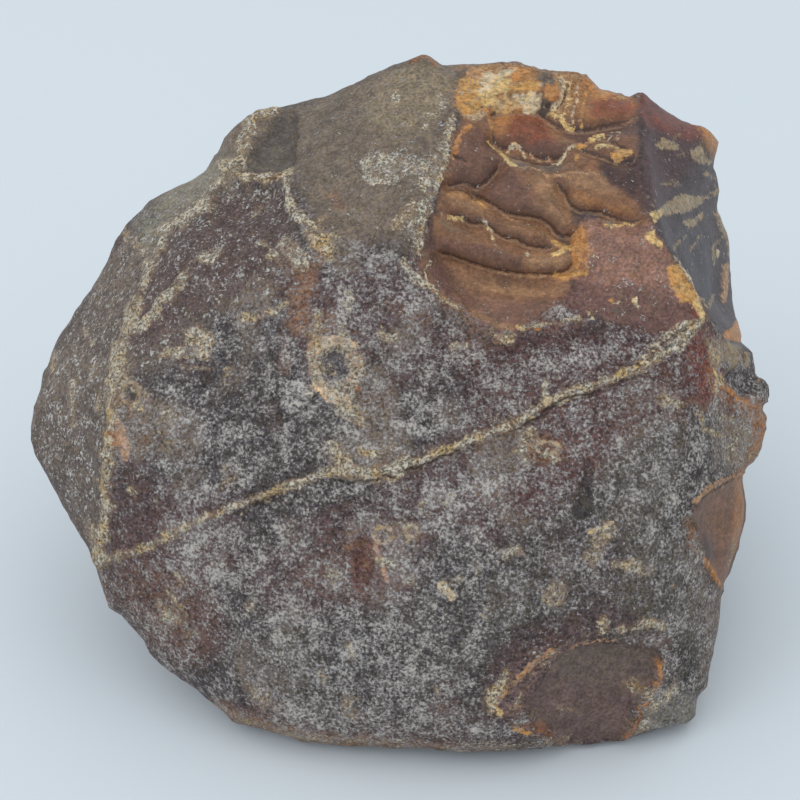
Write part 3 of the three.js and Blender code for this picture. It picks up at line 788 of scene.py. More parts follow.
facetOutline = [
    (576, 232), (584, 218), (600, 215), (640, 219), (655, 232), (690, 288), (706, 318), (660, 332),
    (600, 318), (560, 300), (574, 268),
]
oliveOutline = [
    (150, 190), (230, 130), (300, 100), (425, 50), (470, 64), (455, 110), (430, 170), (420, 240),
    (360, 240), (320, 225), (290, 180), (240, 180), (190, 220),
]
leftOutline = [
    (30, 440), (60, 335), (110, 260), (160, 210), (235, 180), (282, 190), (290, 260), (240, 300),
    (200, 320), (160, 370), (110, 400), (105, 500), (95, 560), (50, 480),
]
lowerFace = [
    (560, 500), (680, 420), (735, 440), (690, 510), (700, 600), (720, 650), (690, 720), (560, 640),
    (420, 700), (300, 720), (260, 640), (400, 600),
]
lowerLip = [
    (490, 708), (496, 686), (512, 664), (535, 644), (560, 632), (592, 630), (598, 640), (572, 650),
    (550, 668), (536, 690), (526, 712), (506, 718),
]
redPatch = [(354, 540), (372, 536), (376, 560), (370, 584), (354, 582)]
darkStreak = [
    (588, 460), (593, 470), (589, 486), (590, 500), (586, 515), (577, 517), (574, 505), (579, 489),
    (584, 472),
]
# tone, strength, fade in pixels, outline
toneAreas = [
    ("oliveRind", 0.95, 16, oliveOutline),
    ("paleOlive", 0.8, 14, [(372, 90), (425, 62), (450, 78), (440, 110), (400, 132), (372, 122)]),
    ("leftRind", 0.8, 16, leftOutline),
    ("greenRind", 0.7, 12, [(135, 225), (170, 190), (225, 158), (236, 165), (205, 195), (175, 215),
        (150, 250)]),
    ("purpleRind", 0.8, 12, [(160, 260), (205, 205), (235, 195), (282, 195), (286, 250), (240, 290),
        (180, 320), (140, 350), (128, 320)]),
    ("slate", 0.9, 4, hollows["shoulder"]["outline"]),
    ("redRind", 0.75, 16, [(440, 330), (520, 335), (600, 330), (690, 320), (700, 420), (640, 430),
        (560, 520), (500, 500), (540, 430), (480, 400)]),
    ("redRind", 0.5, 14, [(330, 520), (375, 520), (380, 600), (345, 600)]),
    ("lipPink", 0.6, 9, [(350, 527), (372, 518), (400, 520), (428, 524), (424, 545), (404, 560), (410, 580),
        (385, 592), (352, 588), (346, 560)]),
    ("redRind", 0.9, 4, [(353, 540), (368, 536), (371, 560), (368, 586), (354, 584)]),
    ("lipPink", 0.9, 4, lowerLip),
    ("redRind", 0.8, 5, redPatch),
    ("rustStain", 0.7, 9, [(290, 262), (312, 262), (312, 300), (306, 332), (290, 332), (286, 300)]),
    ("rustStain", 0.6, 7, [(526, 440), (548, 434), (570, 442), (572, 456), (550, 464), (528, 458)]),
    ("darkRind", 0.8, 4, darkStreak),
    ("purpleRind", 0.8, 10, [(112, 460), (150, 465), (175, 530), (130, 556), (106, 548)]),
    ("redRind", 0.6, 14, [(110, 570), (190, 560), (230, 640), (170, 660)]),
    ("rustStain", 0.3, 16, [(110, 580), (190, 570), (220, 640), (170, 660)]),
    ("rustStain", 0.7, 6, [(215, 700), (300, 726), (400, 738), (500, 742), (500, 756), (390, 754),
        (300, 748), (225, 724)]),
    ("flintBlue", 0.8, 3, [(324, 356), (334, 351), (345, 358), (348, 372), (340, 381), (328, 378)]),
    ("facetPurple", 0.9, 7, facetOutline),
    ("facetBrown", 0.9, 12, [(576, 232), (584, 218), (600, 215), (640, 219), (655, 232), (680, 275),
        (690, 300), (650, 285), (610, 285), (578, 270)]),
    ("facetPurple", 0.7, 8, [(445, 302), (505, 330), (570, 330), (600, 300), (560, 290)]),
    ("deepRed", 0.8, 7, [(688, 322), (706, 326), (722, 350), (718, 398), (700, 402), (688, 360)]),
    ("greenGrey", 0.7, 18, lowerFace),
    ("purpleRind", 0.8, 10, [(500, 640), (600, 606), (640, 625), (560, 650), (530, 700), (490, 700)]),
    ("leftRind", 0.6, 6, [(708, 600), (724, 596), (712, 700), (694, 726), (686, 712), (700, 690)]),
    ("greenRind", 0.5, 8, [(640, 700), (664, 690), (700, 700), (690, 722), (650, 732)]),
    ("purpleRind", 0.6, 10, [(215, 700), (300, 728), (400, 742), (520, 745), (515, 715), (400, 712),
        (300, 700)]),
    # the break
    ("waxBrown", 1.0, 3, breakOutline),
    ("waxPurple", 0.9, 12, [(418, 250), (440, 250), (452, 290), (436, 296)]),
    ("facetPurple", 0.6, 10, [(432, 288), (460, 296), (520, 300), (565, 296), (545, 322), (500, 334),
        (450, 312)]),
    ("waxPurple", 0.7, 6, [(452, 140), (478, 128), (500, 150), (497, 170), (480, 182), (452, 182)]),
    ("waxPurple", 0.7, 8, [(487, 172), (512, 168), (535, 200), (520, 210), (490, 196)]),
    ("waxTan", 0.7, 8, [(535, 175), (560, 185), (572, 205), (570, 220), (552, 216), (538, 196)]),
    ("waxTan", 0.7, 5, [(452, 190), (470, 192), (490, 206), (488, 214), (466, 208), (450, 204)]),
    ("waxTan", 0.7, 5, [(527, 250), (560, 252), (572, 258), (560, 268), (530, 270)]),
    ("waxTan", 0.8, 5, [(560, 174), (585, 172), (604, 176), (618, 192), (600, 190), (575, 184)]),
    ("waxOrange", 0.6, 5, [(575, 190), (600, 200), (625, 207), (640, 216), (610, 212), (585, 204),
        (572, 198)]),
    # painted shade in the break's shadowed corner beside the dark face
    ("deepPurple", 0.95, 6, [(602, 158), (641, 156), (641, 192), (648, 212), (628, 196), (606, 180)]),
    ("flintBlue", 0.8, 3, [(573, 207), (586, 208), (602, 210), (600, 215), (584, 219), (575, 222)]),
    ("flintBlue", 0.6, 3, [(558, 231), (568, 234), (570, 242), (560, 240)]),
    ("waxRed", 0.95, 5, [(510, 112), (540, 110), (556, 124), (558, 146), (530, 146), (518, 140),
        (505, 142)]),
    ("waxOrange", 0.9, 4, [(493, 128), (498, 113), (514, 111), (508, 126), (504, 138), (497, 136)]),
    ("waxTan", 0.6, 4, [(546, 116), (562, 130), (567, 142), (555, 140), (548, 128)]),
    ("waxPurple", 0.8, 3, [(528, 146), (545, 140), (566, 143), (562, 151), (538, 152)]),
    ("slate", 0.8, 4, [(512, 158), (540, 160), (566, 158), (560, 168), (544, 172), (520, 168)]),
    ("crustGold", 0.95, 5, topCrust),
    ("waxOrange", 0.9, 5, [(582, 78), (600, 88), (632, 97), (640, 106), (628, 116), (600, 121), (580, 122),
        (575, 100)]),
    ("waxRed", 0.9, 4, [(592, 102), (612, 96), (632, 102), (636, 112), (610, 118), (592, 116)]),
    ("waxBrown", 0.5, 5, [(562, 86), (588, 84), (590, 120), (566, 122)]),
    ("cream", 0.6, 3, [(462, 112), (482, 108), (488, 114), (470, 120)]),
    ("waxTan", 0.8, 2.5, [(455, 62), (500, 58), (540, 66), (585, 72), (583, 77), (540, 72), (500, 64),
        (458, 70)]),
    ("flintPurple", 0.7, 3, [(566, 126), (600, 122), (640, 118), (641, 134), (600, 134), (570, 138)]),
    ("amber", 0.9, 3, [(573, 232), (584, 224), (588, 250), (586, 272), (560, 277), (554, 272), (572, 262)]),
    # the dark face
    ("flint", 1.0, 3, darkFaceOutline),
    ("flintPurple", 0.8, 8, [(641, 130), (690, 134), (694, 160), (668, 190), (650, 215), (641, 190)]),
    ("deepRed", 0.9, 6, [(640, 90), (668, 110), (700, 124), (712, 134), (690, 140), (650, 126),
        (641, 118)]),
    ("flintBlue", 0.7, 8, [(668, 230), (705, 228), (716, 300), (704, 312), (690, 280)]),
    ("amber", 0.7, 5, [(700, 126), (722, 136), (728, 150), (714, 156), (704, 140)]),
    ("bandCream", 0.7, 3, [(706, 338), (724, 342), (740, 348), (738, 372), (724, 362), (712, 370)]),
    ("flint", 0.9, 3, [(726, 374), (738, 366), (752, 378), (750, 402), (736, 396)]),
    ("rust", 0.8, 4, [(708, 365), (722, 376), (738, 398), (750, 405), (738, 410), (718, 398), (708, 384)]),
    ("waxOrange", 0.9, 6, [(735, 402), (762, 400), (768, 440), (748, 474), (735, 470), (744, 440),
        (740, 416)]),
    ("leftRind", 0.8, 8, [(716, 412), (742, 416), (748, 445), (736, 474), (712, 462)]),
    # the chips
    ("chipBrown", 1.0, 2.5, hollows["rightChip"]["outline"]),
    ("waxOrange", 0.5, 5, [(738, 478), (750, 476), (752, 540), (740, 562), (736, 530), (742, 500)]),
    ("flint", 0.7, 4, [(704, 543), (718, 544), (720, 560), (708, 562)]),
    ("waxOrange", 0.8, 3, [(704, 560), (714, 566), (722, 582), (712, 578)]),
    ("hollowPurple", 1.0, 2, hollows["lowerHollow"]["outline"]),
    ("hollowOlive", 0.8, 8, [(560, 660), (600, 648), (655, 654), (648, 685), (600, 690), (562, 680)]),
    # painted shade under the small ledge above the lower hollow
    ("hollowPurple", 0.9, 3, hollows["lowerShelf"]["outline"]),
]
# tone, strength, width in pixels, line
toneLines = [
    ("amber", 0.5, 11, [(324, 242), (324, 254)]),
    ("rustStain", 0.9, 18, [(312, 262), (304, 285), (298, 305), (305, 330)]),
    ("rust", 0.15, 12, [(310, 268), (303, 290), (302, 312)]),
    ("rustStain", 0.8, 12, [(330, 320), (318, 340), (312, 372)]),
    ("rustStain", 0.6, 11, [(334, 196), (336, 206)]), ("rustStain", 0.6, 8, [(282, 338), (286, 371)]),
    ("rust", 0.9, 5, [(414, 60), (424, 56), (434, 62)]),
    ("rustStain", 0.8, 6, [(422, 228), (428, 242), (424, 258), (420, 272)]),
    ("oliveRind", 0.7, 7, [(446, 62), (480, 62), (515, 61), (548, 69)]),
    ("rust", 0.6, 5, [(264, 178), (283, 178)]), ("rust", 0.6, 6, [(114, 425), (113, 445)]),
    ("rustStain", 0.6, 10, [(116, 378), (120, 400), (140, 414)]),
    ("rust", 0.8, 5, [(661, 662), (660, 678), (650, 695), (640, 710), (636, 726), (625, 742)]),
    ("rust", 0.6, 9, [(515, 728), (535, 726), (548, 738)]),
    ("rust", 0.5, 7, [(688, 520), (690, 532), (700, 556)]),
    ("flint", 0.4, 10, [(702, 502), (704, 530), (708, 552)]),
    ("rustStain", 0.7, 12, [(215, 705), (250, 722), (300, 736), (360, 742)]),
    ("rust", 0.5, 6, [(104, 588), (108, 602)]),
    ("rustStain", 0.5, 12, [(690, 400), (720, 410), (740, 420)]),
    ("rustStain", 0.4, 12, [(345, 548), (370, 545), (360, 580)]),
    ("waxTan", 0.6, 7, [(432, 290), (450, 303), (480, 316), (510, 328)]),
    # painted highlights on the ledges' crowns and painted shade in their creases
    ("amber", 0.4, 7, [(450, 197), (468, 195), (484, 204)]),
    ("waxTan", 0.4, 6, [(505, 222), (530, 228), (552, 238)]),
    ("paleOlive", 0.35, 10, [(440, 224), (455, 228), (470, 234)]),
    ("waxPurple", 0.7, 10, [(436, 241), (462, 246), (490, 252), (515, 262)]),
    ("waxTan", 0.8, 7, [(534, 262), (552, 262), (566, 258)]),
    ("waxPurple", 0.45, 14, [(440, 262), (446, 280), (466, 296)]),
    ("deepPurple", 0.7, 9, [(440, 185), (434, 205), (430, 225), (427, 245)]),
    ("waxTan", 0.6, 10, [(476, 284), (500, 288), (540, 292), (565, 288)]),
]


def lay(field, value, mask):
    return field + (value - field) * (mask[:, None] if field.ndim == 2 else mask)


# the rind's own tones: tone, strength, the noise's values between which it comes in
rindTones = [("purpleRind", 1.0, -0.1, 0.35), ("oliveRind", 0.8, 0.1, 0.4), ("rustStain", 0.3, 0.3, 0.6)]
paint = np.tile(albedo("darkRind"), (len(points), 1))
for tone, strength, low, high in rindTones:
    paint = lay(paint, albedo(tone), strength * smoothStep(low, high, varying(tone)))
uneven = np.clip(varying("tone"), 0, 1)
for tone, strength, fade, shape in toneAreas:
    paint = lay(paint, albedo(tone), strength * area(shape, fade) * uneven)
for tone, strength, width, shape in toneLines:
    paint = lay(paint, albedo(tone), strength * stroke(shape, width) * uneven)
plateShade = covering["plateShade"] * flakyPart * (1 - smoothStep(*covering["plateEnds"], platePhase))
paint = lay(paint, albedo("waxBrown"), plateShade)
flakePaint = np.array([albedo(tone) for tone, _, _ in flakes])[flakeNumber]

# how thick the fine pale frost lies, 0 to 1, and how many separate pale specks there are
frost = varying("frost")
specks = varying("specks")
# amount of frost, fade in pixels, outline
frostAreas = [
    (0.72, 20, lowerFace),
    (0.84, 12, [(250, 590), (300, 600), (420, 620), (500, 640), (480, 690), (380, 700), (270, 660)]),
    (0.8, 10, [(650, 430), (700, 420), (710, 470), (670, 500)]),
    (0.9, 8, [(500, 336), (580, 336), (590, 366), (510, 366)]), (0.3, 14, oliveOutline),
    (0.32, 14, leftOutline),
    (0.48, 10, [(165, 260), (205, 210), (280, 200), (284, 250), (230, 290), (170, 320)]),
    (0.76, 12, [(430, 395), (470, 370), (540, 380), (520, 410), (440, 440)]),
    (0.86, 8, [(415, 405), (445, 405), (445, 436), (415, 436)]),
    (0.68, 10, [(464, 384), (498, 382), (500, 418), (466, 418)]),
    (0.62, 12, [(205, 362), (258, 352), (262, 398), (208, 402)]),
    (0.6, 12, [(598, 582), (648, 578), (650, 616), (602, 620)]),
    (0.84, 12, [(270, 704), (420, 708), (430, 736), (290, 734)]),
    (0.5, 12, [(112, 470), (150, 470), (172, 530), (130, 556), (108, 548)]),
    (0.3, 7, [(528, 436), (548, 432), (570, 436), (572, 458), (550, 464), (528, 460)]),
    (0.72, 14, [(560, 420), (640, 420), (640, 470), (570, 490)]),
    (0.1, 4, darkStreak),
    (0.48, 12, [(480, 700), (500, 640), (600, 606), (650, 628), (560, 650), (530, 700), (500, 722)]),
    (0.35, 5, redPatch), (0.36, 5, lowerLip),
    (1.0, 7, [(338, 288), (352, 290), (356, 320), (352, 340), (338, 338)]),
    (0.9, 9, [(330, 408), (352, 404), (356, 440), (336, 444)]),
    (1.0, 9, [(285, 384), (300, 378), (312, 384), (306, 404), (290, 410)]),
    (0.6, 12, [(310, 520), (345, 520), (345, 560), (310, 560)]),
    (0.9, 16, [(160, 520), (240, 520), (250, 590), (180, 580)]),
    (0.66, 12, [(110, 580), (190, 590), (260, 680), (260, 730), (200, 700)]),
    (0.54, 8, [(292, 262), (316, 262), (316, 290), (308, 318), (292, 318)]),
    (0.55, 8, [(690, 340), (712, 350), (712, 400), (680, 400)]),
    (0.78, 16, [(225, 555), (300, 545), (290, 590)]),
    (0.9, 16, [(430, 480), (500, 470), (510, 490), (470, 530), (420, 520)]),
    (0.76, 12, [(420, 330), (560, 335), (550, 365), (400, 360)]),
    (0.9, 10, [(345, 440), (380, 440), (370, 470)]), (0.0, 3, breakOutline), (0.0, 3, darkFaceOutline),
    (0.0, 3, hollows["rightChip"]["outline"]), (0.0, 2, hollows["lowerHollow"]["outline"]),
    (0.05, 3, hollows["shoulder"]["outline"]), (0.15, 6, facetOutline),
    (0.4, 10, [(440, 300), (505, 335), (600, 320), (590, 340), (490, 350)]),
]
# amount of specks, fade in pixels, outline
speckAreas = [
    (0.5, 14, oliveOutline), (0.9, 14, leftOutline),
    (0.8, 12, [(130, 240), (200, 200), (290, 230), (290, 300), (200, 320), (140, 340), (110, 300)]),
    (1.0, 6, [(362, 152), (400, 150), (438, 152), (444, 180), (400, 184), (364, 182)]),
    (0.9, 6, [(410, 215), (426, 225), (424, 255), (412, 262)]),
    (0.75, 8, [(435, 120), (452, 120), (446, 200), (425, 240), (415, 235), (432, 190)]),
    (0.55, 10, [(590, 230), (650, 230), (690, 290), (650, 320), (580, 300)]), (0.42, 4, breakOutline),
    (0.4, 4, darkFaceOutline), (0.3, 3, hollows["rightChip"]["outline"]),
    (0.0, 3, hollows["lowerHollow"]["outline"]), (0.05, 4, hollows["shoulder"]["outline"]),
    (0.1, 4, topCrust), (0.55, 6, [(450, 292), (505, 322), (570, 322), (560, 300), (505, 305)]),
]
frostSpread = varying("frostSpread")
for amount, fade, shape in frostAreas:
    frost = lay(frost, amount + frostSpread * min(1, 2 * amount), area(shape, fade))
for amount, fade, shape in speckAreas:
    specks = lay(specks, amount, area(shape, fade))

# the lumpy pale crust: cover, width in pixels, warmth from white to orange, line
crustLines = [
    (0.8, 10, 0.15, ridges["arris"][2][:9]), (0.62, 13, 0.35, ridges["arris"][2][8:]),
    (0.75, 9, 0.15, ridges["innerArris"][2]), (0.75, 10, 0.4, ridges["shoulderRim"][2]),
    (0.8, 9, 0.4, ridges["shoulderLip"][2]), (0.7, 10, 0.1, ridges["seam"][2]),
    (0.5, 6, 0, [(345, 300), (347, 320), (344, 336)]),
    (0.7, 8, 0.5, [(245, 319), (262, 316), (276, 309), (285, 302)]),
    (0.6, 15, 0.3, [(196, 334), (204, 350)]), (0.4, 12, 0.1, [(165, 354), (190, 352)]),
    (0.75, 7, 0.2, [(424, 182), (424, 205), (422, 225)]),
    (0.6, 10, 0, [(366, 160), (370, 178), (392, 176)]), (0.6, 9, 0, [(384, 156), (410, 166), (436, 168)]),
    (0.7, 13, 0.6, [(318, 240), (332, 240), (330, 258)]),
    (0.6, 14, 0.1, [(285, 244), (296, 258), (306, 262)]),
    (0.5, 8, 0.5, [(131, 386), (146, 392), (140, 408), (120, 404)]),
    (0.5, 6, 0.7, [(112, 410), (110, 430)]), (0.6, 6, 0.2, [(383, 532), (388, 536)]),
    (0.4, 12, 0.2, [(400, 524), (415, 534)]), (0.8, 11, 0.3, [(445, 586), (449, 592)]),
    (0.4, 8, 0.3, [(322, 678), (324, 682)]), (0.4, 8, 0.2, [(437, 690), (440, 694)]),
    (0.55, 10, 0.2, [(622, 630), (632, 627), (650, 624), (668, 626)]),
    (0.6, 9, 0.4, [(490, 714), (495, 692), (508, 674)]),
    (0.35, 5, 0.2, [(514, 706), (526, 684), (542, 663), (562, 648)]),
    (0.5, 5, 0.5, [(557, 718), (572, 717)]), (0.65, 8, 0.1, [(650, 694), (654, 710), (640, 730)]),
    (0.5, 7, 0.1, [(676, 682), (668, 694), (655, 704)]),
    (0.7, 4, 0.4, [(432, 287), (445, 300), (456, 306)]), (0.5, 3, 0.1, [(644, 193), (654, 204)]),
    (0.62, 9, 0.3, [(650, 346), (668, 336), (692, 322)]),
    (0.6, 7, 0.3, [(640, 368), (662, 356), (684, 342)]), (0.6, 9, 0.2, [(650, 352), (640, 362)]),
    (0.6, 6, 0.6, [(712, 350), (720, 372), (716, 392)]),
    (0.5, 6, 0.5, [(700, 415), (706, 430), (720, 434)]), (0.35, 14, 0.2, [(600, 520), (612, 530)]),
    (0.45, 14, 0.2, [(618, 564), (640, 568)]),
    (0.65, 5, 0.3, [(447, 152), (438, 186), (425, 225), (418, 252)]),
    (0.7, 5, 0.3, [(452, 118), (448, 136), (446, 152)]),
    (0.45, 6, 0.2, [(423, 126), (436, 113), (449, 99)]), (0.5, 6, 0.2, [(547, 382), (547, 404)]),
    (0.55, 6, 0.3, [(122, 226), (130, 240), (141, 250)]), (0.5, 4, 0.2, [(54, 350), (53, 364), (56, 380)]),
    (0.5, 4, 0.1, [(74, 378), (72, 400), (76, 428)]), (0.45, 5, 0.1, [(84, 330), (92, 345)]),
    (0.4, 3, 0, [(180, 369), (218, 369)]), (0.4, 3, 0, [(160, 442), (205, 442)]),
    (0.62, 12, 0.1, [(292, 384), (306, 392)]), (0.3, 12, 0.5, [(318, 318), (314, 340)]),
    (0.5, 12, 0.1, [(342, 409), (350, 416)]), (0.45, 11, 0.1, [(384, 336), (394, 336)]),
    (0.45, 10, 0.1, [(455, 346), (463, 346)]), (0.4, 8, 0.2, [(394, 94), (398, 99)]),
    (0.5, 8, 0.1, [(248, 122), (243, 134), (240, 148)]), (0.4, 16, 0.2, [(160, 605), (172, 625)]),
    (0.4, 14, 0.2, [(255, 690), (275, 706)]), (0.6, 9, 0.2, [(332, 445), (338, 458), (348, 468)]),
    (0.55, 7, 0.4, [(360, 452), (378, 455), (396, 446)]),
    (0.5, 8, 0.2, [(375, 480), (392, 478), (402, 470)]), (0.5, 10, 0, [(346, 288), (350, 300)]),
    (0.55, 8, 0.2, [(262, 240), (270, 252), (280, 262)]),
    (0.45, 9, 0.3, [(122, 350), (126, 372), (122, 388)]),
    (0.5, 8, 0.2, [(404, 262), (412, 275), (426, 286)]),
    (0.7, 4, 0.3, [(430, 262), (424, 275), (430, 286)]),
    (0.5, 5, 0.4, [(520, 328), (552, 324), (580, 318)]), (0.45, 10, 0.2, [(380, 560), (398, 566)]),
    (0.4, 12, 0.1, [(500, 552), (520, 548)]), (0.4, 10, 0.1, [(345, 640), (352, 655)]),
]
# cover, warmth, fade in pixels, outline
crustAreas = [
    (0.36, 0.2, 4, [(308, 350), (320, 340), (338, 337), (352, 343), (362, 355), (366, 372), (358, 388),
        (350, 402), (338, 407), (326, 400), (316, 384), (308, 368)]),
    (-0.25, 0.1, 3, [(324, 357), (333, 351), (345, 358), (348, 372), (340, 381), (328, 378), (330, 368)]),
    (0.06, 0.0, 5, [(364, 152), (384, 150), (410, 158), (438, 152), (448, 160), (444, 182), (420, 178),
        (396, 184), (368, 182)]),
    (0.2, 0.1, 4, [(446, 120), (454, 124), (448, 160), (435, 192), (425, 228), (416, 262), (410, 250),
        (416, 214), (428, 180)]),
    (0.35, 0.1, 4, [(286, 246), (300, 244), (312, 256), (308, 272), (292, 270)]),
    (0.3, 0.5, 5, [(184, 330), (206, 326), (215, 338), (210, 356), (190, 354)]),
    (0.25, 0.4, 5, [(300, 228), (322, 226), (338, 240), (330, 256), (312, 250)]),
    (0.3, 0.3, 4, [(328, 446), (342, 442), (356, 464), (380, 470), (404, 452), (410, 462), (392, 482),
        (340, 480)]),
    (0.14, 0.15, 5, [(720, 418), (742, 418), (748, 445), (738, 470), (722, 455)]),
    (0.1, 0.25, 9, [(215, 702), (300, 728), (400, 736), (500, 739), (560, 738), (560, 752), (400, 752),
        (300, 746), (218, 722)]),
    (-0.3, 0.3, 3, [(358, 458), (372, 454), (384, 460), (378, 468), (364, 467)]),
]
patchy = np.clip(varying("patchyCrust"), *covering["patchy"])
breakMask, darkFaceMask = (area(shape, covering["breakFade"]) for shape in (breakOutline, darkFaceOutline))
scattered = smoothStep(*covering["scatteredRange"], varying("scatteredCrust"))
plateTops = smoothStep(*covering["plateTopRange"], platePhase)
crust = covering["noCrust"] + covering["scattered"] * scattered
crust = lay(crust, covering["noCrust"], np.maximum(breakMask, darkFaceMask))
crust = lay(crust, covering["topCrust"] + covering["plateTops"] * plateTops, flakyPart)
warmth = lay(varying("warmth"), covering["topWarmth"], area(topCrust, covering["topWarmthFade"]))
for cover, warm, fade, shape in crustAreas:
    crust = lay(crust, cover, area(shape, fade))
    warmth = lay(warmth, warm, area(shape, fade))
for cover, width, warm, shape in crustLines:
    mask = stroke(shape, width)
    grown = covering["noCrust"] + (cover - covering["noCrust"]) * mask * patchy
    crust = np.where(mask > 0, np.maximum(crust, grown), crust)
    warmth = lay(warmth, warm, mask)


def nearVein(reach):  # 1 on the vein, falling away over a reach in millimetres
    return np.exp(-(veinDistance / reach) ** 2)


ownWidth = covering["veinSpread"] * np.maximum(veinWidth, covering["veinLeast"])
veinCover = covering["vein"] * nearVein(ownWidth) + varying("veinCrust")
veinCover += covering["veinCore"] * nearVein(covering["veinCoreReach"])
veinCover -= covering["leftVeinLoss"] * (1 - smoothStep(*covering["leftVein"], places[:, 0])) * seen
crust = np.where(veinDistance < covering["veinReach"], np.maximum(crust, veinCover), crust)
frost -= covering["veinFrostLoss"] * nearVein(covering["veinFrostReach"])
warmth = lay(warmth, varying("veinWarmth"), nearVein(covering["veinWarmthReach"]))
groundMask = covering["groundShare"] * smoothStep(*covering["groundRange"], crust) * (1 - breakMask)
paint = lay(paint, albedo("crustGround"), groundMask)

# pixels below (positive) or above (negative) the nearest ledge's crease, by which the material places its
# painted shade and painted highlights
belowCrease = np.full(len(points), covering["creaseBeyond"])
for ledge in breakLedges.values():
    near = around(ledge["line"], covering["creaseReach"])
    distance, side, share = nearestOn(places[near], curveThrough(ledge["line"]))
    atEnd = 1 - smoothStep(0, covering["creaseEnds"], np.minimum(share, 1 - share))
    distance = distance + covering["creaseEndLoss"] * atEnd
    nearer = distance < np.abs(belowCrease[near])
    belowCrease[near[nearer]] = (distance * np.where(side > 0, 1, -1))[nearer]

# gloss, fade in pixels, outline
glossAreas = [
    (0.9, 4, breakOutline), (0.85, 4, darkFaceOutline), (0.8, 3, hollows["rightChip"]["outline"]),
    (0.6, 3, hollows["lowerHollow"]["outline"]), (0.5, 4, hollows["shoulder"]["outline"]),
    (0.3, 5, topCrust), (0.55, 16, oliveOutline), (0.3, 16, leftOutline), (0.55, 8, facetOutline),
]
gloss = np.zeros(len(points))
for amount, fade, shape in glossAreas:
    gloss = lay(gloss, amount, area(shape, fade))

# what the material reads from the stone's points
stoneValues = {
    "frost": frost, "specks": specks, "crust": crust, "gloss": gloss, "cracks": cracks, "warmth": warmth,
    "belowCrease": belowCrease, "flakes": flakeInside,
}
stoneColors = {"paint": paint, "flakePaint": flakePaint}

# material

print("material")


def node(tree, kind, values=None, **settings):  # a new node; values: its inputs, by name or number
    made = tree.nodes.new(kind)
    for name, value in settings.items():
        setattr(made, name, value)
    for socket, value in (values or {}).items():
        if isinstance(value, bpy.types.NodeSocket):
            tree.links.new(value, made.inputs[socket])
        else:
            made.inputs[socket].default_value = value
    return made


def calc(tree, operation, *values, clamp=False):
    made = node(tree, "ShaderNodeMath", dict(enumerate(values)), operation=operation, use_clamp=clamp)
    return made.outputs[0]


def ramp(tree, value, low, high):  # 0 below low, 1 above high
    return node(tree, "ShaderNodeMapRange", {"Value": value, "From Min": low, "From Max": high},
                interpolation_type="SMOOTHSTEP").outputs["Result"]


def blendColor(tree, share, base, top, mode="MIX"):  # a colour of three values is made one of four
    base, top = ((*color, 1) if isinstance(color, tuple) else color for color in (base, top))
    made = node(tree, "ShaderNodeMix", {0: share, 6: base, 7: top}, data_type="RGBA", blend_type=mode)
    return made.outputs[2]


def multiply(tree, color, tint):
    return blendColor(tree, 1.0, color, tint, "MULTIPLY")


def cloud(tree, place, scale, detail=2.0, roughness=0.6, distortion=0.0):  # noise around 0.5
    made = node(tree, "ShaderNodeTexNoise", {
        "Vector": place, "Scale": scale, "Detail": detail, "Roughness": roughness, "Distortion": distortion})
    return made.outputs["Fac"]


grainForm = {
    "scale": 0.5,      # lumps per millimetre for grains of size 1
    "detail": 3.0,
    "roughness": 0.75,
    "clumps": 0.28,    # the scale of clumps over that of grains
    "thin": 0.68,      # the noise's level at which grains begin where Cover is 0
    "dense": -0.36,    # how that level changes as Cover rises to 1
    "coreStep": 0.6,   # how much further in a grain's core begins, in units of Softness
}


def makeGrainGroup():  # ragged grains, thicker where Cover is higher, clumped together
    group = bpy.data.node_groups.new("raggedGrains", "ShaderNodeTree")
    for socket in ("Place", "Cover", "Size", "Clumping", "Softness"):
        kind = "NodeSocketVector" if socket == "Place" else "NodeSocketFloat"
        group.interface.new_socket(socket, in_out="INPUT", socket_type=kind)
    for socket in ("Mask", "Core"):
        group.interface.new_socket(socket, in_out="OUTPUT", socket_type="NodeSocketFloat")
    into = group.nodes.new("NodeGroupInput").outputs
    scale = calc(group, "DIVIDE", grainForm["scale"], into["Size"])
    grains = cloud(group, into["Place"], scale, grainForm["detail"], grainForm["roughness"])
    clumpScale = calc(group, "MULTIPLY", scale, grainForm["clumps"])
    clumps = calc(group, "SUBTRACT", cloud(group, into["Place"], clumpScale), 0.5)
    value = calc(group, "MULTIPLY_ADD", clumps, into["Clumping"], grains)
    low = calc(group, "MULTIPLY_ADD", into["Cover"], grainForm["dense"], grainForm["thin"])
    middle = calc(group, "MULTIPLY_ADD", into["Softness"], grainForm["coreStep"], low)
    mask = ramp(group, value, low, calc(group, "ADD", low, into["Softness"]))
    core = ramp(group, value, middle, calc(group, "ADD", middle, into["Softness"]))
    result = group.nodes.new("NodeGroupOutput").inputs
    group.links.new(mask, result["Mask"])
    group.links.new(core, result["Core"])
    return group


